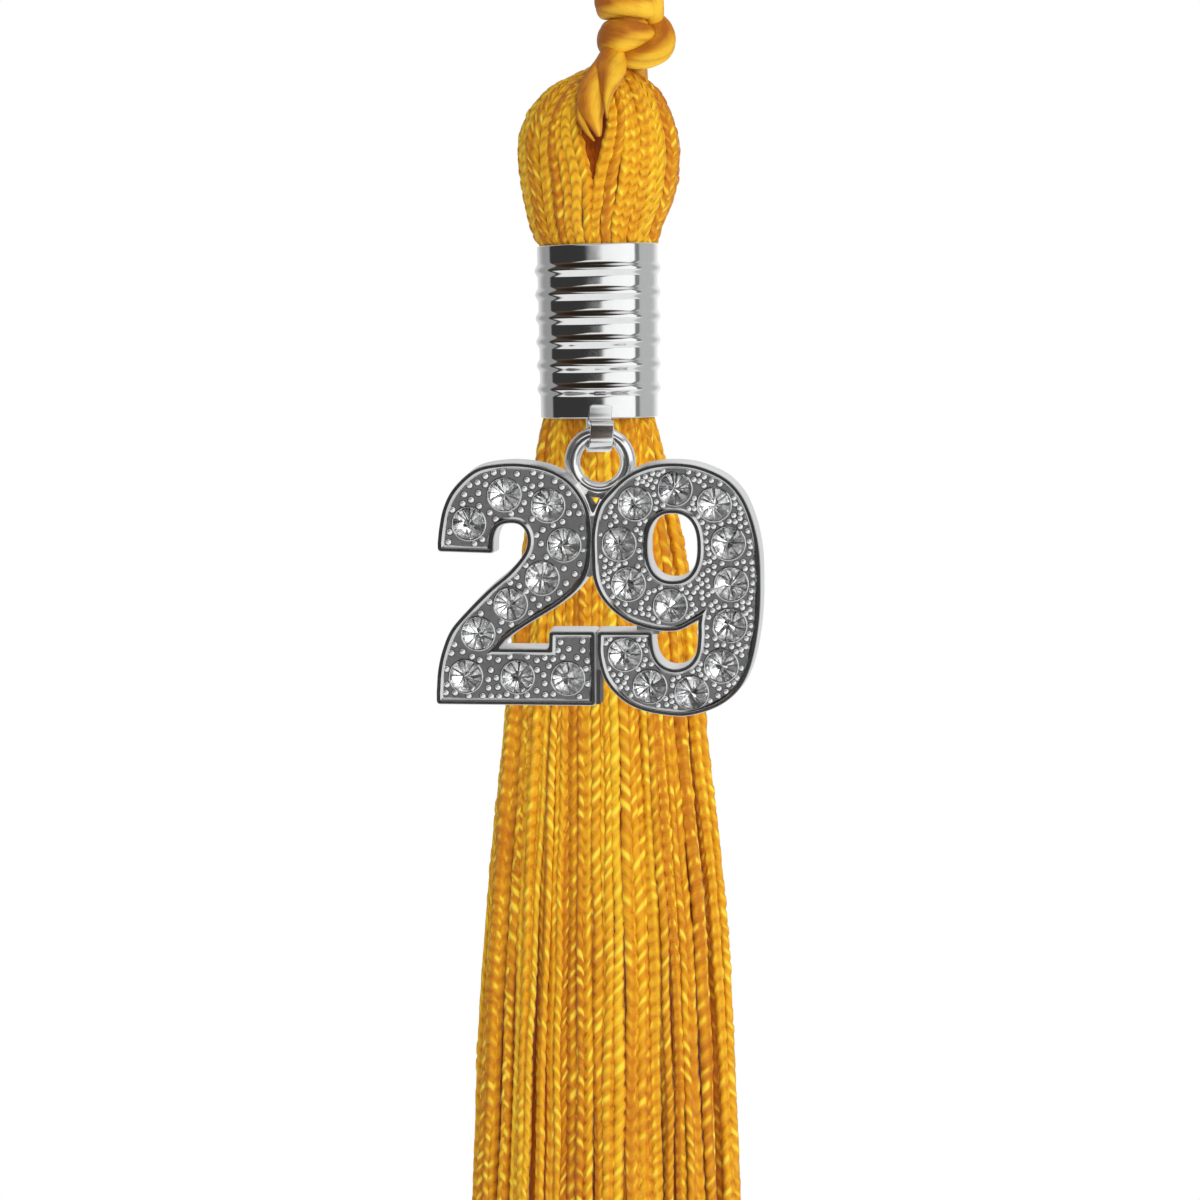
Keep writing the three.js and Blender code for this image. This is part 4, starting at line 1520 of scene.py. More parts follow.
@dataclass
class Bail:
    """The strip that hooks the charm's ring to the ferrule."""

    hinge: Vector
    finish: Material
    width: float = 2.45 * MM
    thickness: float = 0.46 * MM
    corner: float = 0.13 * MM
    end_round: float = 0.22 * MM
    turn: float = math.radians(7)
    lean: float = 0.1
    spacing: float = 0.12 * MM
    corner_points: int = 5
    least_half: float = 0.1 * MM
    crease: float = 40
    route: tuple[Pair, ...] = (
        (-1.83, 3.2), (-1.83, 2.4), (-1.83, 1.75), (-1.68, 1.5), (-1.35, 1.42), (-0.3, 1.42), (0.5, 1.38),
        (0.88, 1.15), (1.13, 0.65), (1.34, 0.1), (1.48, -0.4), (1.38, -0.84), (0.9, -1.21), (0, -1.37),
        (-1.06, -1.02), (-1.5, 0), (-2.35, 0.85), (-3.15, 1.7), (-3.35, 2.7), (-3.35, 4.7),
    )

    def build(self) -> None:
        """Makes the strip, whose section has rounded corners."""
        points = [(0.0, self.hinge.y - ahead * MM, self.hinge.z + up * MM) for ahead, up in self.route]
        path = smooth_route(points, self.spacing)
        course = Course(path, np.cross(unit(np.gradient(path, axis=0)), (1.0, 0.0, 0.0)))
        to_end = np.minimum(course.reached, course.length - course.reached) / self.end_round
        shrink = self.end_round * (1 - np.sqrt(np.clip(1 - (1 - np.minimum(to_end, 1)) ** 2, 0, 1)))
        bend = np.radians(np.linspace(0, 90, self.corner_points))
        quarter = np.stack([
            self.thickness / 2 - self.corner + self.corner * np.cos(bend),
            self.width / 2 - self.corner + self.corner * np.sin(bend),
        ], 1)
        back = quarter[::-1]
        out, side = np.vstack([quarter, back * (-1, 1), quarter * (-1, -1), back * (1, -1)]).T
        side = np.sign(side) * np.maximum(np.abs(side) - shrink[:, None], self.least_half)
        lengths = course.reached[:, None] + 0 * side
        turned = np.array(Matrix.Rotation(self.turn, 3, "Z"))
        pivot = np.array((0.0, self.hinge.y, 0.0))
        strip = (course.swept(lengths, out + 0 * side, side) - pivot) @ turned.T + pivot
        strip[..., 0] += (strip[..., 2] - self.hinge.z) * self.lean
        draft = MeshDraft()
        draft.grid(strip)
        placed(draft.build("bail_strip", [self.finish], self.crease), Body.TASSEL, Slot.CHROME, "bail")


# Charm

Outline = tuple[tuple[bool, tuple[Pair, ...]], ...]


def anticlockwise(points: Array) -> Array:
    """An outline's points in anticlockwise order."""
    x, y = points.T
    return points if np.sum(x * np.roll(y, -1) - np.roll(x, -1) * y) > 0 else points[::-1]


def outline_points(stretches: Outline, spacing: float) -> Array:
    """The anticlockwise points of an outline of stretches. Those of the round ones are a spacing apart."""
    return anticlockwise(np.vstack([
        smooth_route(points, spacing) if is_round else points for is_round, points in stretches
    ]))


def directions(points: Array) -> tuple[Array, Array]:
    """The directions in which a closed outline reaches each of its points and leaves it."""
    reaching = unit(points - np.roll(points, 1, axis=0))
    return reaching, np.roll(reaching, -1, axis=0)


def drawn_in(points: Array, margin: float) -> Array:
    """An anticlockwise outline drawn in on every side.

    Args:
        points: The outline.
        margin: By how much.

    Returns:
        The drawn-in outline.
    """
    before, after = directions(points)
    normal = unit(np.stack([-before[:, 1] - after[:, 1], before[:, 0] + after[:, 0]], 1))
    square = np.stack([-after[:, 1], after[:, 0]], 1)
    mitre = 1 / np.maximum(np.sum(normal * square, axis=1), 1 / LONGEST_MITRE)
    return points + normal * (margin * mitre)[:, None]


def sharp_corners(points: Array) -> Array:
    """The numbers of the points where an outline has a corner."""
    before, after = directions(points)
    return np.nonzero(np.sum(before * after, axis=1) < math.cos(math.radians(CORNER_TURN)))[0]


def rounded(points: Array, corners: Array, reach: float) -> Array:
    """An outline with some of its corners rounded off.

    Args:
        points: The outline.
        corners: The numbers of the corners.
        reach: How far from each corner its round starts.

    Returns:
        The outline, with as many points for any reach.
    """
    share = np.linspace(0, 1, ROUND_POINTS)[:, None]
    parts = []
    for number, point in enumerate(points):
        if number not in corners:
            parts.append(point[None])
            continue
        start, end = (
            point + (beside - point) * min(reach / np.linalg.norm(beside - point), LONGEST_ROUND)
            for beside in (points[number - 1], points[(number + 1) % len(points)])
        )
        parts.append(start * (1 - share) ** 2 + 2 * point * share * (1 - share) + end * share**2)
    return np.vstack(parts)


def inside(outline: Array, spots: Array) -> Array:
    """Tells which spots lie inside an outline.

    Args:
        outline: The outline.
        spots: The spots.

    Returns:
        Whether each one does.
    """
    x, y = spots[:, 0][:, None], spots[:, 1][:, None]
    x1, y1 = outline.T
    x2, y2 = np.roll(outline, -1, axis=0).T
    slope = (x2 - x1) / np.where(y2 == y1, 1, y2 - y1)
    return np.sum(((y1 > y) != (y2 > y)) & (x < x1 + (y - y1) * slope), axis=1) % 2 == 1


class RimStep(NamedTuple):
    """A step of the numerals' edge: how far in from the outline it is, and how high, in mm."""

    inset: float
    level: float


class Web(NamedTuple):
    """A plate between the numerals: how high its face is, its finish, and its corners, in mm."""

    level: float
    finish: Worn
    corners: tuple[Pair, ...]


class BeadSpread(NamedTuple):
    """How the cast beads lie: their radius and spacing, and the share of the floor left plain."""

    radius: float
    spacing: float
    plain: float


class Numeral(NamedTuple):
    """One numeral: its name, its outline, the places of its stones, its beads and its holes, in mm."""

    name: str
    outline: Array
    stones: Sequence[Pair]
    beads: BeadSpread
    holes: Sequence[Array]


@dataclass
class Charm:
    """The cast plate of two numerals with its ring, beads and rhinestones, in mm in its own plane."""

    hinge: Vector
    finishes: Sequence[Material]
    stone_finishes: Sequence[Material]
    lean: float = math.radians(3)
    turn: float = math.radians(7)
    ring_radius: float = 2.92
    ring_lift: float = 0.25
    back: float = -0.75
    floor_level: float = 2.42
    corner_reach: float = 0.38
    least_reach: float = 0.06
    outline_spacing: float = 0.3
    web_lift: float = 0.15
    plate_crease: float = 38
    bead_crease: float = 60
    wall_steps: int = 6
    rim: tuple[RimStep, ...] = tuple(map(RimStep._make, (
        (0.05, -0.75), (-0.08, -0.7), (-0.12, -0.5), (-0.06, 1.0), (-0.02, 2.42), (0.0, 2.54), (0.02, 2.63),
        (0.05, 2.69), (0.07, 2.7), (0.09, 2.7), (0.38, 2.7), (0.4, 2.7), (0.43, 2.685), (0.47, 2.655),
        (0.52, 2.615), (0.57, 2.57), (0.62, 2.53), (0.67, 2.485), (0.72, 2.42),
    )))
    two: Outline = (
        (False, ((-16.8, -8.95), (-10.9, -9.1))),
        (True, (
            (-10.9, -8.3), (-10.8, -7.3), (-10.3, -6.3), (-9.2, -5.95), (-8.1, -6.15), (-7.4, -7.2),
            (-7.55, -8.7), (-9.1, -10.8), (-11.4, -12.8), (-13.7, -15.1), (-15.5, -17.2), (-16.4, -19.3),
            (-16.9, -21.4), (-17.1, -23.8),
        )),
        (False, (
            (-17.1, -25.05), (-0.3, -25), (-0.3, -17.15), (-5.15, -17.2), (-5.2, -19.05), (-10.4, -19.05),
        )),
        (True, (
            (-9.7, -18.2), (-8.7, -17.4), (-6.7, -16.1), (-4, -14.4), (-1.95, -12.6), (-1, -11),
            (-0.65, -8.6), (-0.7, -5.5), (-1.3, -3.5), (-2.8, -1.5), (-4.9, -0.25), (-7.5, 0.31),
            (-10.1, 0.31), (-12.75, -0.3), (-15.15, -2.45), (-16.15, -4.4), (-16.6, -6.4), (-16.8, -8),
        )),
    )
    nine: Outline = (
        (True, (
            (10.4, -16.3), (10.4, -17.7), (10.1, -19.6), (9.3, -20.6), (8, -21), (6.75, -20.6),
            (6, -19.6), (5.7, -18.2), (5.68, -17.7),
        )),
        (False, ((5.65, -17.1), (-0.1, -17.15))),
        (True, (
            (-0.1, -18), (-0.1, -19.6), (0.6, -22.2), (2.25, -24.2), (4.3, -25.35), (7.5, -25.95),
            (9.6, -25.9), (12.7, -24.8), (14.7, -23.1), (15.8, -21), (16.7, -16.8), (16.95, -12.1),
            (16.65, -7.5), (15.3, -3.35), (13.55, -1.25), (10.7, 0.1), (8.2, 0.46), (5.5, 0.21),
            (3.2, -0.77), (1.35, -2.4), (0.1, -3.95), (-0.6, -6.55), (-0.65, -9.2), (-0.45, -11.8),
            (0.5, -13.9), (2.8, -15.95), (5.4, -16.9), (7.3, -17.1), (8.55, -16.95), (10.1, -16.15),
        )),
        (False, ((10.45, -15.95),)),
    )
    bowl_centre: Pair = (7.8, -8.3)
    bowl_halves: Pair = (2.55, 3.47)
    bowl_squareness: float = 2.4
    bowl_points: int = 56
    ring_rod: float = 0.75
    ring_widening: float = 1.02
    ring_squareness: float = 0.07
    ring_groove: float = 0.17
    groove_width: float = 0.3
    groove_shade_line: Pair = (0.07, 0.02)
    ring_points: int = 28
    ring_sectors: int = 72
    webs: tuple[Web, ...] = (
        # Plates in the painted-shade finish stand for the shade in the gaps between the numerals.
        Web(1.75, Worn.PAINTED_SHADE, ((-2.3, -2.2), (-1.2, -3.2), (-0.45, -4.3), (-0.35, -5.3), (-1.2, -5.3))),
        Web(1.75, Worn.PAINTED_SHADE, ((0.2, -3.2), (0.9, -3.0), (0.7, -5.3), (-0.35, -5.3), (-0.45, -4.3))),
        # A light strip that paints the highlight along the edge at the notch.
        Web(2.0, Worn.NOTCH_HIGHLIGHT, (
            (-2.4, -1.9), (-2.1, -1.75), (-1.46, -2.89), (-1.06, -3.83), (-0.78, -4.66), (-0.6, -4.9),
            (-0.4, -4.72), (-0.2, -4.3), (0.2, -3.42), (0.4, -3.46), (-0.08, -4.5), (-0.32, -5.05),
            (-0.61, -5.2), (-0.89, -5.0), (-1.28, -3.93), (-1.68, -3.0),
        )),
        Web(2.55, Worn.FLOOR, (
            (-1.4, -4.95), (-0.6, -5.16), (0.2, -4.95), (0.4, -8), (-0.2, -11.2), (-0.9, -11.5),
            (-1.6, -11.2), (-1.7, -7),
        )),
        Web(2.2, Worn.FLOOR, ((-0.7, -17.3), (0.3, -17.3), (0.3, -21.25), (-0.7, -21.25))),
        Web(2.1, Worn.PAINTED_SHADE, ((-0.7, -21.2), (0.12, -21.2), (0.12, -24.9), (-0.7, -24.9))),
        Web(1.75, Worn.FLOOR, ((3.95, -16.2), (6.3, -16.9), (6.3, -17.5), (3.95, -17.5))),
    )
    two_stones: tuple[Pair, ...] = (
        (-9.75, -2.95), (-5.2, -4.05), (-13.5, -6), (-3.55, -8.15), (-5.85, -11.65),
        (-9.2, -14.4), (-12.65, -17.55), (-14, -22.05), (-8.55, -22.05), (-3.25, -22.15),
    )
    nine_stones: tuple[Pair, ...] = (
        (3.9, -3.8), (8.05, -2.25), (12.1, -3.85), (2.2, -8), (13.55, -7.85),
        (3.15, -12.2), (13.85, -12.1), (7.5, -14.4), (13.7, -16.4), (2.75, -19.55),
        (12.8, -20.65), (5.35, -22.9), (9.7, -23.5),
    )
    two_beads: BeadSpread = BeadSpread(0.34, 0.84, 0.05)
    nine_beads: BeadSpread = BeadSpread(0.31, 0.56, 0.06)
    bead_edge: float = math.radians(30)
    bead_shadow_reach: float = 1.22
    bead_steps: tuple[float, ...] = (0.0, 0.22, 0.45, 0.7, 0.92)
    bead_sectors: int = 10
    bead_tries: int = 16000
    bead_overlap: float = 0.35
    bead_sink: float = 0.02
    shadow_ring_lift: float = 0.004
    shadow_ring_top: float = 0.03
    bare_waves: tuple[Pair, Pair] = ((1.9, 0.7), (1.6, 2.0))
    seat_radius: float = 1.77
    seat_sectors: int = 32
    seat_section: tuple[Pair, ...] = (
        (-0.02, -0.5), (-0.1, -0.5), (-0.1, 0.0), (-0.08, 0.15), (-0.02, 0.19), (0.04, 0.15), (0.08, 0.12),
        (0.1, -0.02),
    )
    girdle: float = 1.68
    table: float = 0.95
    crown: float = 0.42
    cuts: int = 8
    table_share: float = 0.98
    star_share: float = 1.28
    star_level: float = 0.72
    girdle_edges: Pair = (0.05, -0.04)
    pavilion: float = 0.36
    culet_ring: float = 0.56
    wedges: int = 13
    wedge_spread: float = 0.3
    sliver: float = 0.24
    sliver_spread: Pair = (0.4, 1.5)
    belly_twist: float = 0.06
    belly_spread: Pair = (0.7, 1.35)
    belly_depths: Pair = (0.55, 1.25)
    culet_shift: float = 0.1
    culet_depths: Pair = (0.4, 1.3)
    sliver_foils: Triple = (0.64, 0.3, 0.06)
    wedge_foils: Triple = (0.1, 0.2, 0.7)
    centre_foils: Triple = (0.06, 0.3, 0.64)
    stone_tip: float = 0.035
    girdle_level: float = 2.52
    seed: int = 29

    def __post_init__(self) -> None:
        """Works out how the charm hangs, and its numerals, and starts its plate."""
        self.hung = (
            Matrix.Translation(self.hinge)
            @ Matrix.Rotation(-self.turn, 4, "Z")
            @ Matrix.Rotation(math.pi / 2 + self.lean, 4, "X")
            @ Matrix.Translation((0, -self.ring_radius * MM, 0))
        )
        self.plate = MeshDraft()
        angle = -turn_angles(self.bowl_points)
        parts = np.stack([np.cos(angle), np.sin(angle)], 1)
        reach = np.array(self.bowl_halves) * np.sign(parts) * np.abs(parts) ** (2 / self.bowl_squareness)
        bowl = np.array(self.bowl_centre) + reach
        two, nine = (outline_points(stretches, self.outline_spacing) for stretches in (self.two, self.nine))
        self.numerals = (
            Numeral("two", two, self.two_stones, self.two_beads, ()),
            Numeral("nine", nine, self.nine_stones, self.nine_beads, (bowl,)),
        )

    def world(self, points: Array) -> Array:
        """Points of the charm's own plane, in mm, as places in the tassel's frame."""
        matrix = np.array(self.hung)
        return (points * MM) @ matrix[:3, :3].T + matrix[:3, 3]

    def _at_level(self, outline: Array, level: float) -> Array:
        """An outline's points at a level of the charm."""
        return self.world(np.column_stack([outline, np.full(len(outline), level)]))

    def _loop(self, outline: Array, inset: float) -> Array:
        """An outline drawn in by an inset, with its sharp corners a little rounded."""
        reach = max(self.corner_reach - 0.5 * inset, self.least_reach)
        return rounded(drawn_in(outline, inset), sharp_corners(outline), reach)

    def _face(self, loops: Sequence[Array], level: float, front: bool, finish: Worn) -> None:
        """Adds a flat face with holes to the plate.

        Args:
            loops: Its outline and then its holes.
            level: Its level.
            front: Whether it looks to the front.
            finish: Which finish it wears.
        """
        faces = np.array(tessellate_polygon([[Vector((*point, 0)) for point in loop] for loop in loops]))
        spots = np.vstack(loops)
        start, middle, end = (spots[faces[:, k]] for k in range(3))
        first, second = middle - start, end - start
        area = first[:, 0] * second[:, 1] - first[:, 1] * second[:, 0]
        faces, area = faces[np.abs(area) > LEAST_AREA], area[np.abs(area) > LEAST_AREA]
        wrong = (area < 0) if front else (area > 0)
        faces[wrong] = faces[wrong][:, ::-1]
        self.plate.add(self._at_level(spots, level), faces, finish=finish, smooth=False)

    def _ring(self) -> None:
        """Adds the ring, with a lip on each side of a shallow groove, and a dark line of painted shade in it.
        """
        angle = turn_angles(self.ring_points)
        groove = self.ring_groove * np.exp(-(((angle - math.pi / 2) / self.groove_width) ** 2))
        reach = self.ring_rod * (1 + self.ring_squareness * np.cos(4 * angle) - groove)
        radius = self.ring_radius + reach * np.cos(angle) * self.ring_widening
        section = np.stack([radius, reach * np.sin(angle)], 1)
        wide, deep = self.groove_shade_line
        bottom = self.ring_radius, self.ring_rod * (1 + self.ring_squareness - self.ring_groove)
        line = np.array(((wide, -deep), (wide, deep), (-wide, deep), (-wide, -deep))) + bottom
        for profile, finish in ((section, Worn.RING), (line, Worn.PAINTED_SHADE)):
            rows = turned_rows(profile, self.ring_sectors, (0.0, self.ring_lift))
            self.plate.grid(self.world(rows), ring=True, finish=finish)

    def _webs(self) -> None:
        """Adds the flat plates between the numerals: dark plates of painted shade, a light strip of painted
        highlight, and plates in the floor finish.
        """
        base = self.back + self.web_lift
        for web in self.webs:
            loop = anticlockwise(np.array(web.corners, float))
            sides = np.stack([self._at_level(loop, base), self._at_level(loop, web.level)])
            self.plate.grid(sides, capped=False, smooth=False, finish=web.finish)
            self._face([loop], web.level, True, web.finish)
            self._face([loop], base, False, web.finish)

    def build_plate(self) -> None:
        """Makes the cast plate: each numeral's walls, rim, back, floor and seats, the webs and the ring."""
        angle = -turn_angles(self.seat_sectors)
        seat = self.seat_radius * np.stack([np.cos(angle), np.sin(angle)], 1)
        section = np.array(self.seat_section) + (self.seat_radius, self.floor_level)
        for numeral in self.numerals:
            edges = numeral.outline, *numeral.holes
            for edge in edges:
                rows = [self._at_level(self._loop(edge, step.inset), step.level) for step in self.rim]
                self.plate.grid(np.stack(rows[:self.wall_steps]), capped=False, finish=Worn.WALL)
                self.plate.grid(np.stack(rows[self.wall_steps - 1:]), capped=False)
            backs = [self._loop(edge, self.rim[0].inset) for edge in edges]
            self._face(backs, self.back, False, Worn.PLATING)
            floors = [self._loop(edge, self.rim[-1].inset) for edge in edges]
            floors += [seat + stone for stone in numeral.stones]
            self._face(floors, self.floor_level, True, Worn.FLOOR)
            for stone in numeral.stones:
                self.plate.grid(self.world(turned_rows(section, self.seat_sectors, stone)), ring=True)
        self._webs()
        self._ring()
        piece = self.plate.build("cast_numerals", self.finishes, self.plate_crease)
        placed(piece, Body.CHARM, Slot.CASTING, "charm_plate")

    def _bead_spots(self, numeral: Numeral) -> Array:
        """Where the beads of a numeral lie, none too close to another, to a stone or to the rim.

        Args:
            numeral: The numeral.

        Returns:
            Their places.
        """
        rng = np.random.default_rng(self.seed)
        outline, spread = numeral.outline, numeral.beads
        clear = self.rim[-1].inset + spread.radius * self.bead_overlap
        tries = rng.uniform(outline.min(0), outline.max(0), (self.bead_tries, 2))
        good = inside(drawn_in(outline, clear), tries)
        for hole in numeral.holes:
            good &= ~inside(drawn_in(hole, clear)[::-1], tries)
        away = np.linalg.norm(tries[:, None] - np.array(numeral.stones), axis=2)
        good &= np.min(away, axis=1) > self.seat_radius + spread.radius
        kept: list[Array] = []
        for spot in tries[good]:
            if not kept or np.min(np.linalg.norm(np.array(kept) - spot, axis=1)) > spread.spacing:
                kept.append(spot)
        spots = np.array(kept)
        rates, shifts = np.array(self.bare_waves).T
        wave = np.prod(np.sin(spots * rates + shifts), axis=1)
        return spots[wave > np.quantile(wave, spread.plain)]

    def build_beads(self) -> None:
        """Makes the cast beads, each in a flat dark ring that paints its shadow on the floor."""
        draft = MeshDraft()
        looks = Worn.BEAD, Worn.PAINTED_SHADE
        rise = self.bead_edge + (math.pi / 2 - self.bead_edge) * np.array(self.bead_steps)
        for numeral in self.numerals:
            spots, radius = self._bead_spots(numeral), numeral.beads.radius
            LOG.info("%d beads on the %s", len(spots), numeral.name)
            ball = radius / math.cos(self.bead_edge)
            sunk = self.floor_level - ball * math.sin(self.bead_edge) - self.bead_sink
            dome = np.stack([ball * np.cos(rise), sunk + ball * np.sin(rise)], 1)
            # A flat dark ring round each bead paints its shadow on the floor.
            foot = radius * self.bead_shadow_reach, self.floor_level + self.shadow_ring_lift
            shadow_ring = np.array((foot, dome[0] + (0, self.shadow_ring_top)))
            for spot in spots:
                draft.grid(self.world(turned_rows(dome, self.bead_sectors, spot)))
                rows = self.world(turned_rows(shadow_ring, self.bead_sectors, spot))
                draft.grid(rows, capped=False, finish=looks.index(Worn.PAINTED_SHADE))
        worn = [self.finishes[look] for look in looks]
        placed(draft.build("cast_beads", worn, self.bead_crease), Body.CHARM, Slot.CASTING)

    def _crown(self, turned: float) -> tuple[Array, Array]:
        """A stone's cut crown, in its own place. Its faces look away from its middle.

        Args:
            turned: How far its cuts are turned.

        Returns:
            Its points, and its faces.
        """
        cuts = self.cuts
        whole = turn_angles(cuts) + turned
        half = whole + TURN / cuts / 2
        rings = [
            (self.table * self.table_share, self.crown, half),
            (self.table * self.star_share, self.crown * self.star_level, whole),
        ]
        rings += [(self.girdle, level, angle) for level in self.girdle_edges for angle in (half, whole)]
        spots = np.vstack([
            np.column_stack([r * np.cos(a), r * np.sin(a), np.full(cuts, self.girdle_level + level)])
            for r, level, a in rings
        ])
        table, star, upper, corner, lower, under = (cuts * n for n in range(len(rings)))
        faces = [(table, table + k, table + k + 1) for k in range(1, cuts - 1)]
        for k in range(cuts):
            n = (k + 1) % cuts
            faces += [
                (table + k, star + n, table + n), (star + k, upper + k, table + k),
                (table + k, upper + k, star + n), (star + k, corner + k, upper + k),
                (upper + k, corner + n, star + n), (upper + k, lower + k, corner + n),
                (corner + n, lower + k, under + n), (corner + k, under + k, upper + k),
                (upper + k, under + k, lower + k),
            ]
        faces = np.array(faces)
        corners = spots[faces]
        normal = np.cross(corners[:, 1] - corners[:, 0], corners[:, 2] - corners[:, 0])
        inward = np.sum(normal * (corners.mean(1) - spots.mean(0)), axis=1) < 0
        faces[inward] = faces[inward][:, ::-1]
        return spots, faces

    def _pavilion(self, rng: Rng) -> tuple[Array, Array, Array]:
        """A stone's foiled pavilion, its facets in foils that paint light and dark reflections.

        Args:
            rng: The source of its unevenness.

        Returns:
            Its points, its faces, and the number of the foil that each face wears.
        """
        steps = 1 + rng.uniform(-self.wedge_spread, self.wedge_spread, self.wedges)
        starts = np.cumsum(steps / steps.sum()) * TURN
        widths = TURN / self.wedges * self.sliver * rng.uniform(*self.sliver_spread, self.wedges)
        angle = np.stack([starts, starts + widths], 1).ravel()
        count = len(angle)
        level = self.girdle_level + self.girdle_edges[1]
        edge = self.girdle * np.stack([np.cos(angle), np.sin(angle)], 1)
        rim = np.column_stack([edge, np.full(count, level)])
        inner = angle + rng.normal(0, self.belly_twist, count)
        reach = self.culet_ring * rng.uniform(*self.belly_spread, count)
        deep = level - self.pavilion * rng.uniform(*self.belly_depths, count)
        belly = np.column_stack([reach * np.cos(inner), reach * np.sin(inner), deep])
        shift = rng.normal(0, self.culet_shift, 2)
        culet = np.array([[*shift, level - self.pavilion * rng.uniform(*self.culet_depths)]])
        faces, foils = [], []
        for k in range(count):
            n = (k + 1) % count
            wide = k % 2 == 1
            first, second = rng.choice(3, 2, p=self.sliver_foils if wide else self.wedge_foils) + 1
            faces += [(k, count + k, n), (n, count + k, count + n), (count + k, 2 * count, count + n)]
            foils += [first, second if wide else first, rng.choice(3, p=self.centre_foils) + 1]
        return np.vstack([rim, belly, culet]), np.array(faces), np.array(foils)

    def build_stones(self) -> None:
        """Makes the rhinestones: cut crowns, through which foiled pavilions of uneven facets show, in foils
        painted light, grey and dark as their reflections.
        """
        rng = np.random.default_rng(self.seed)
        for numeral in self.numerals:
            for number, centre in enumerate(numeral.stones, 1):
                tip = rng.uniform(-self.stone_tip, self.stone_tip, 2)
                crown, glass = self._crown(rng.uniform(0, TURN / self.cuts))
                pavilion, faces, foils = self._pavilion(rng)
                draft = MeshDraft()
                worn = [(pavilion, faces[foils == foil], foil) for foil in range(1, len(self.stone_finishes))]
                for spots, worn_faces, finish in ((crown, glass, 0), *worn):
                    tipped = spots.copy()
                    tipped[:, 2] += spots[:, 0] * tip[0] + spots[:, 1] * tip[1]
                    tipped[:, :2] += centre
                    if len(worn_faces):
                        draft.add(self.world(tipped), worn_faces, finish=finish, smooth=False)
                piece = draft.build(f"rhinestone_{numeral.name}_{number}", self.stone_finishes)
                placed(piece, Body.CHARM, Slot.CRYSTAL, f"{numeral.name}_stone_{number}")

    def build(self) -> None:
        """Makes the whole charm."""
        self.build_plate()
        self.build_beads()
        self.build_stones()


# Studio


@dataclass
class Viewpoint:
    """Where the picture is taken from."""

    aim: Vector
    distance: float = 380 * MM
    rise: float = math.radians(4.4)
    frame_width: float = 128 * MM
    sensor: float = 36.0
    nearest: float = 0.01
    farthest: float = 50.0

    def build(self) -> None:
        """Makes the scene's camera."""
        data = bpy.data.cameras.new("camera")
        camera = bpy.data.objects.new("camera", data)
        back = Vector((0, -math.cos(self.rise), math.sin(self.rise)))
        camera.location = self.aim + back * self.distance
        camera.rotation_euler = (-back).to_track_quat("-Z", "Y").to_euler()
        data.sensor_width = self.sensor
        data.lens = self.sensor * self.distance / self.frame_width
        data.clip_start, data.clip_end = self.nearest, self.farthest
        bpy.context.scene.collection.objects.link(camera)
        bpy.context.scene.camera = camera


class SoftBox(NamedTuple):
    """A soft light: its bearing from the camera's side, its height, its distance, its size and its power."""

    name: str
    bearing: float
    height: float
    distance: float
    size: Pair
    power: float


@dataclass
class MirroredCards:
    """What metal mirrors: white cards on the right, above and below, and a dark card on the left.

    Bearings are in degrees from the front, to the right, and rises in degrees over the horizon. An edge or
    an end is the pair of angles between which something sets in or stops.
    """

    grey: float = 0.34
    right_grey: float = 0.18
    right_grey_edge: Pair = (-20, 60)
    slant: float = 1.5
    curl: float = 24.0
    curl_edge: Pair = (-0.3, 0.6)
    right_edge: Pair = (0, 11)
    white: float = 0.6
    white_end: Pair = (74, 77)
    dark: float = 0.3
    dark_edge: Pair = (-106, -102)
    line: float = 0.31
    line_edge: Pair = (75, 78)
    line_end: Pair = (84, 90)
    behind: float = 0.4
    behind_edge: Pair = (125, 160)
    ahead_end: Pair = (92, 108)
    near_end: Pair = (86, 98)
    taper: float = 20.0
    taper_edge: Pair = (0, 75)
    brown_edge: Pair = (16, 26)
    brown_fade: Pair = (24, 50)
    brown: Colour = (0.11, 0.07, 0.045)
    dark_brown: Colour = (0.02, 0.016, 0.012)
    top_edge: Pair = (58, 72)
    top_white: Colour = (0.95, 0.95, 0.95)
    low_end: Pair = (-20, -14)
    low_white: Colour = (0.92, 0.92, 0.92)

    def colour(self, shop: NodeShop) -> Value:
        """The colour that metal mirrors in each direction.

        Args:
            shop: The shop of the surround's nodes.

        Returns:
            The colour.
        """
        x, y, z = shop.parts(shop.node("ShaderNodeTexCoord", {}, {}, out="Generated"))
        bearing, rise = x.to(y * -1.0) * math.degrees(1), z.slope() * math.degrees(1)
        aside = bearing.size()
        right = bearing + rise * self.slant + rise.eased(*self.curl_edge) * self.curl
        right = right.eased(*self.right_edge)
        white_card = right * (1.0 - bearing.eased(*self.white_end))
        dark_card = bearing.eased(*self.dark_edge) * (1.0 - right)
        thin_line = bearing.eased(*self.line_edge) * (1.0 - bearing.eased(*self.line_end))
        shade = bearing.eased(*self.right_grey_edge) * self.right_grey + self.grey
        shade = shade + aside.eased(*self.behind_edge) * self.behind + white_card * self.white
        shade = shade - dark_card * self.dark - thin_line * self.line
        taper = bearing.eased(*self.taper_edge) * self.taper
        near = 1.0 - aside.eased(*self.near_end)
        above = (rise - taper).eased(*self.brown_edge) * (1.0 - aside.eased(*self.ahead_end))
        colour = shop.node("ShaderNodeCombineColor", {}, {0: shade, 1: shade, 2: shade})
        colour = shop.mix(above, colour, shop.mix(rise.eased(*self.brown_fade), self.brown, self.dark_brown))
        colour = shop.mix((rise + taper).eased(*self.top_edge) * near, colour, self.top_white)
        return shop.mix((1.0 - rise.eased(*self.low_end)) * near, colour, self.low_white)


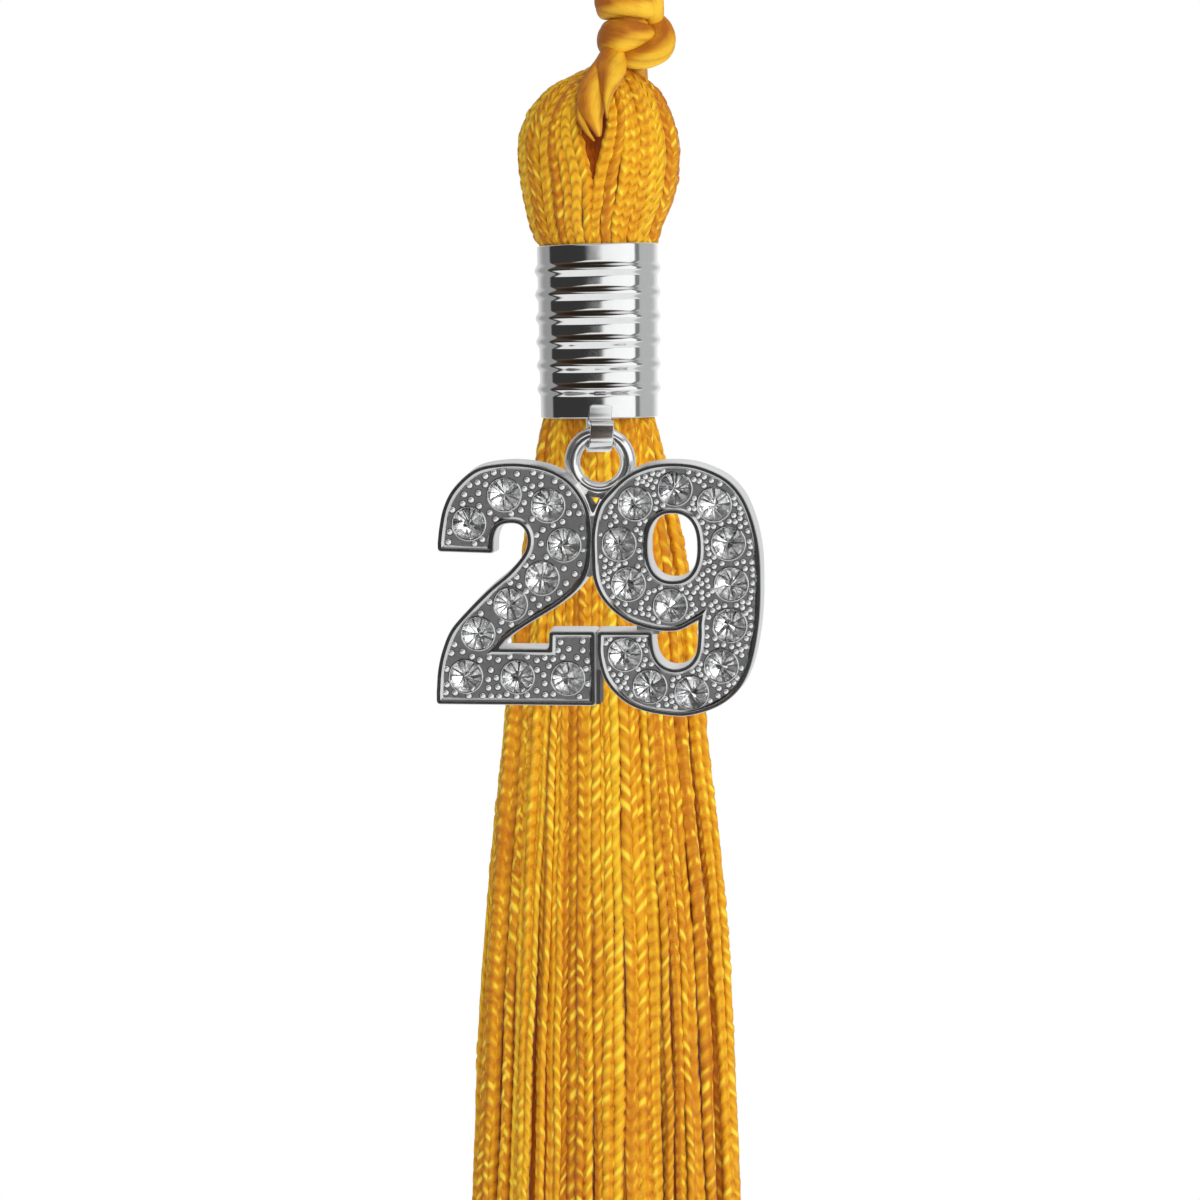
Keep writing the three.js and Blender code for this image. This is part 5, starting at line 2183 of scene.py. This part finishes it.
@dataclass
class Studio:
    """A pale floor, a white surround and soft lights."""

    middle: Vector
    floor_level: float = -0.42
    floor_radius: float = 0.7
    floor_sides: int = 96
    floor_glow: float = 0.3
    floor_roughness: float = 0.9
    floor_specular: float = 0.1
    floor_grain: float = 40.0
    floor_dark: Colour = (0.96, 0.96, 0.96)
    floor_light: Colour = (0.99, 0.99, 0.99)
    white: tuple[float, ...] = (1.0, 1.0, 1.0, 1.0)
    ambient: tuple[float, ...] = (0.36, 0.36, 0.36, 1.0)
    boxes: tuple[SoftBox, ...] = (
        SoftBox("key", 36.0, 0.2, 0.62, (0.8, 0.5), 3.1),
        SoftBox("fill", -70.0, 0.1, 0.7, (0.6, 0.7), 0.5),
        SoftBox("crown", 10.0, 0.75, 0.3, (0.6, 0.6), 0.6),
    )

    def build(self) -> None:
        """Makes the floor, the lights and the surround."""
        self._floor()
        for box in self.boxes:
            self._light(box)
        self._surround()
        bpy.context.scene.view_settings.view_transform = "Standard"

    def _floor(self) -> None:
        """Makes the floor."""
        shop = NodeShop(bpy.data.materials.new("pale floor"))
        grain = shop.noise(shop.place(), self.floor_grain, detail=3.0)
        shade = shop.mix(grain, self.floor_dark, self.floor_light)
        material = shop.finish({
            "Base Color": shade,
            "Roughness": self.floor_roughness,
            "Specular IOR Level": self.floor_specular,
            "Emission Color": shade,
            "Emission Strength": self.floor_glow,
        })
        angle = turn_angles(self.floor_sides)
        rim = np.stack([np.cos(angle), np.sin(angle), 0 * angle], 1) * self.floor_radius
        draft = MeshDraft()
        draft.add(rim + (0, 0, self.floor_level), np.arange(self.floor_sides)[None, :], smooth=False)
        floor = draft.build("floor", [material])
        floor.visible_glossy = False

    def _light(self, box: SoftBox) -> None:
        """Makes one soft light, aimed at the middle of the tassel.

        Args:
            box: The light.
        """
        data = bpy.data.lights.new(box.name, "AREA")
        data.shape = "RECTANGLE"
        data.size, data.size_y = box.size
        data.energy = box.power
        lamp = bpy.data.objects.new(box.name, data)
        bearing = math.radians(box.bearing)
        away = Vector((math.sin(bearing) * box.distance, -math.cos(bearing) * box.distance, box.height))
        lamp.location = self.middle + away
        lamp.rotation_euler = (-away).to_track_quat("-Z", "Y").to_euler()
        lamp.visible_camera = False
        lamp.visible_glossy = False
        bpy.context.scene.collection.objects.link(lamp)

    def _surround(self) -> None:
        """Makes the surround: white where it is seen, even where it lights cloth, and cards for the metal."""
        world = bpy.data.worlds.new("surround")
        bpy.context.scene.world = world
        shop = NodeShop(world)
        cards, soft, seen = (
            shop.node("ShaderNodeBackground", {}, {"Color": colour})
            for colour in (MirroredCards().colour(shop), self.ambient, self.white)
        )
        scattered, from_camera = (
            shop.node("ShaderNodeLightPath", {}, {}, out=ray) for ray in ("Is Diffuse Ray", "Is Camera Ray")
        )
        lit = shop.node("ShaderNodeMixShader", {}, {0: scattered, 1: cards, 2: soft})
        both = shop.node("ShaderNodeMixShader", {}, {0: from_camera, 1: lit, 2: seen})
        shop.node("ShaderNodeOutputWorld", {}, {"Surface": both})


def main() -> None:
    """Builds the tassel piece by piece."""
    logging.basicConfig(level=logging.INFO, format="%(message)s")
    for thing in list(bpy.data.objects):
        bpy.data.objects.remove(thing)
    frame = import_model()
    ferrule_low, ferrule_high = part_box("ferrule")
    yarn_low, yarn_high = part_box("yarn_tassel")
    hinge = Vector(frame["joints"][0]["pos_m"])
    head_top = yarn_high.z
    middle = Vector((0, 0, head_top - MIDDLE_DROP))

    Viewpoint(middle).build()
    cord_finish = CordFinish().make()
    HangingCord(head_top, cord_finish).build()
    Knot(head_top, cord_finish).build()
    yarn_finish, core_finish = YarnFinish().make(), INNER_YARN.make()
    YarnHead(head_top, yarn_finish, core_finish).build()
    Skirt(ferrule_low.z, yarn_low.z, yarn_finish, core_finish).build()
    Ferrule(ferrule_high.z, ferrule_low.z, FERRULE_PLATING.make()).build()
    Bail(hinge, BAIL_PLATING.make()).build()
    plate, stone = ([finish.make() for finish in finishes] for finishes in (PLATE_FINISHES, STONE_FINISHES))
    Charm(hinge, plate, stone).build()
    Studio(middle).build()


if __name__ == "__main__":
    main()
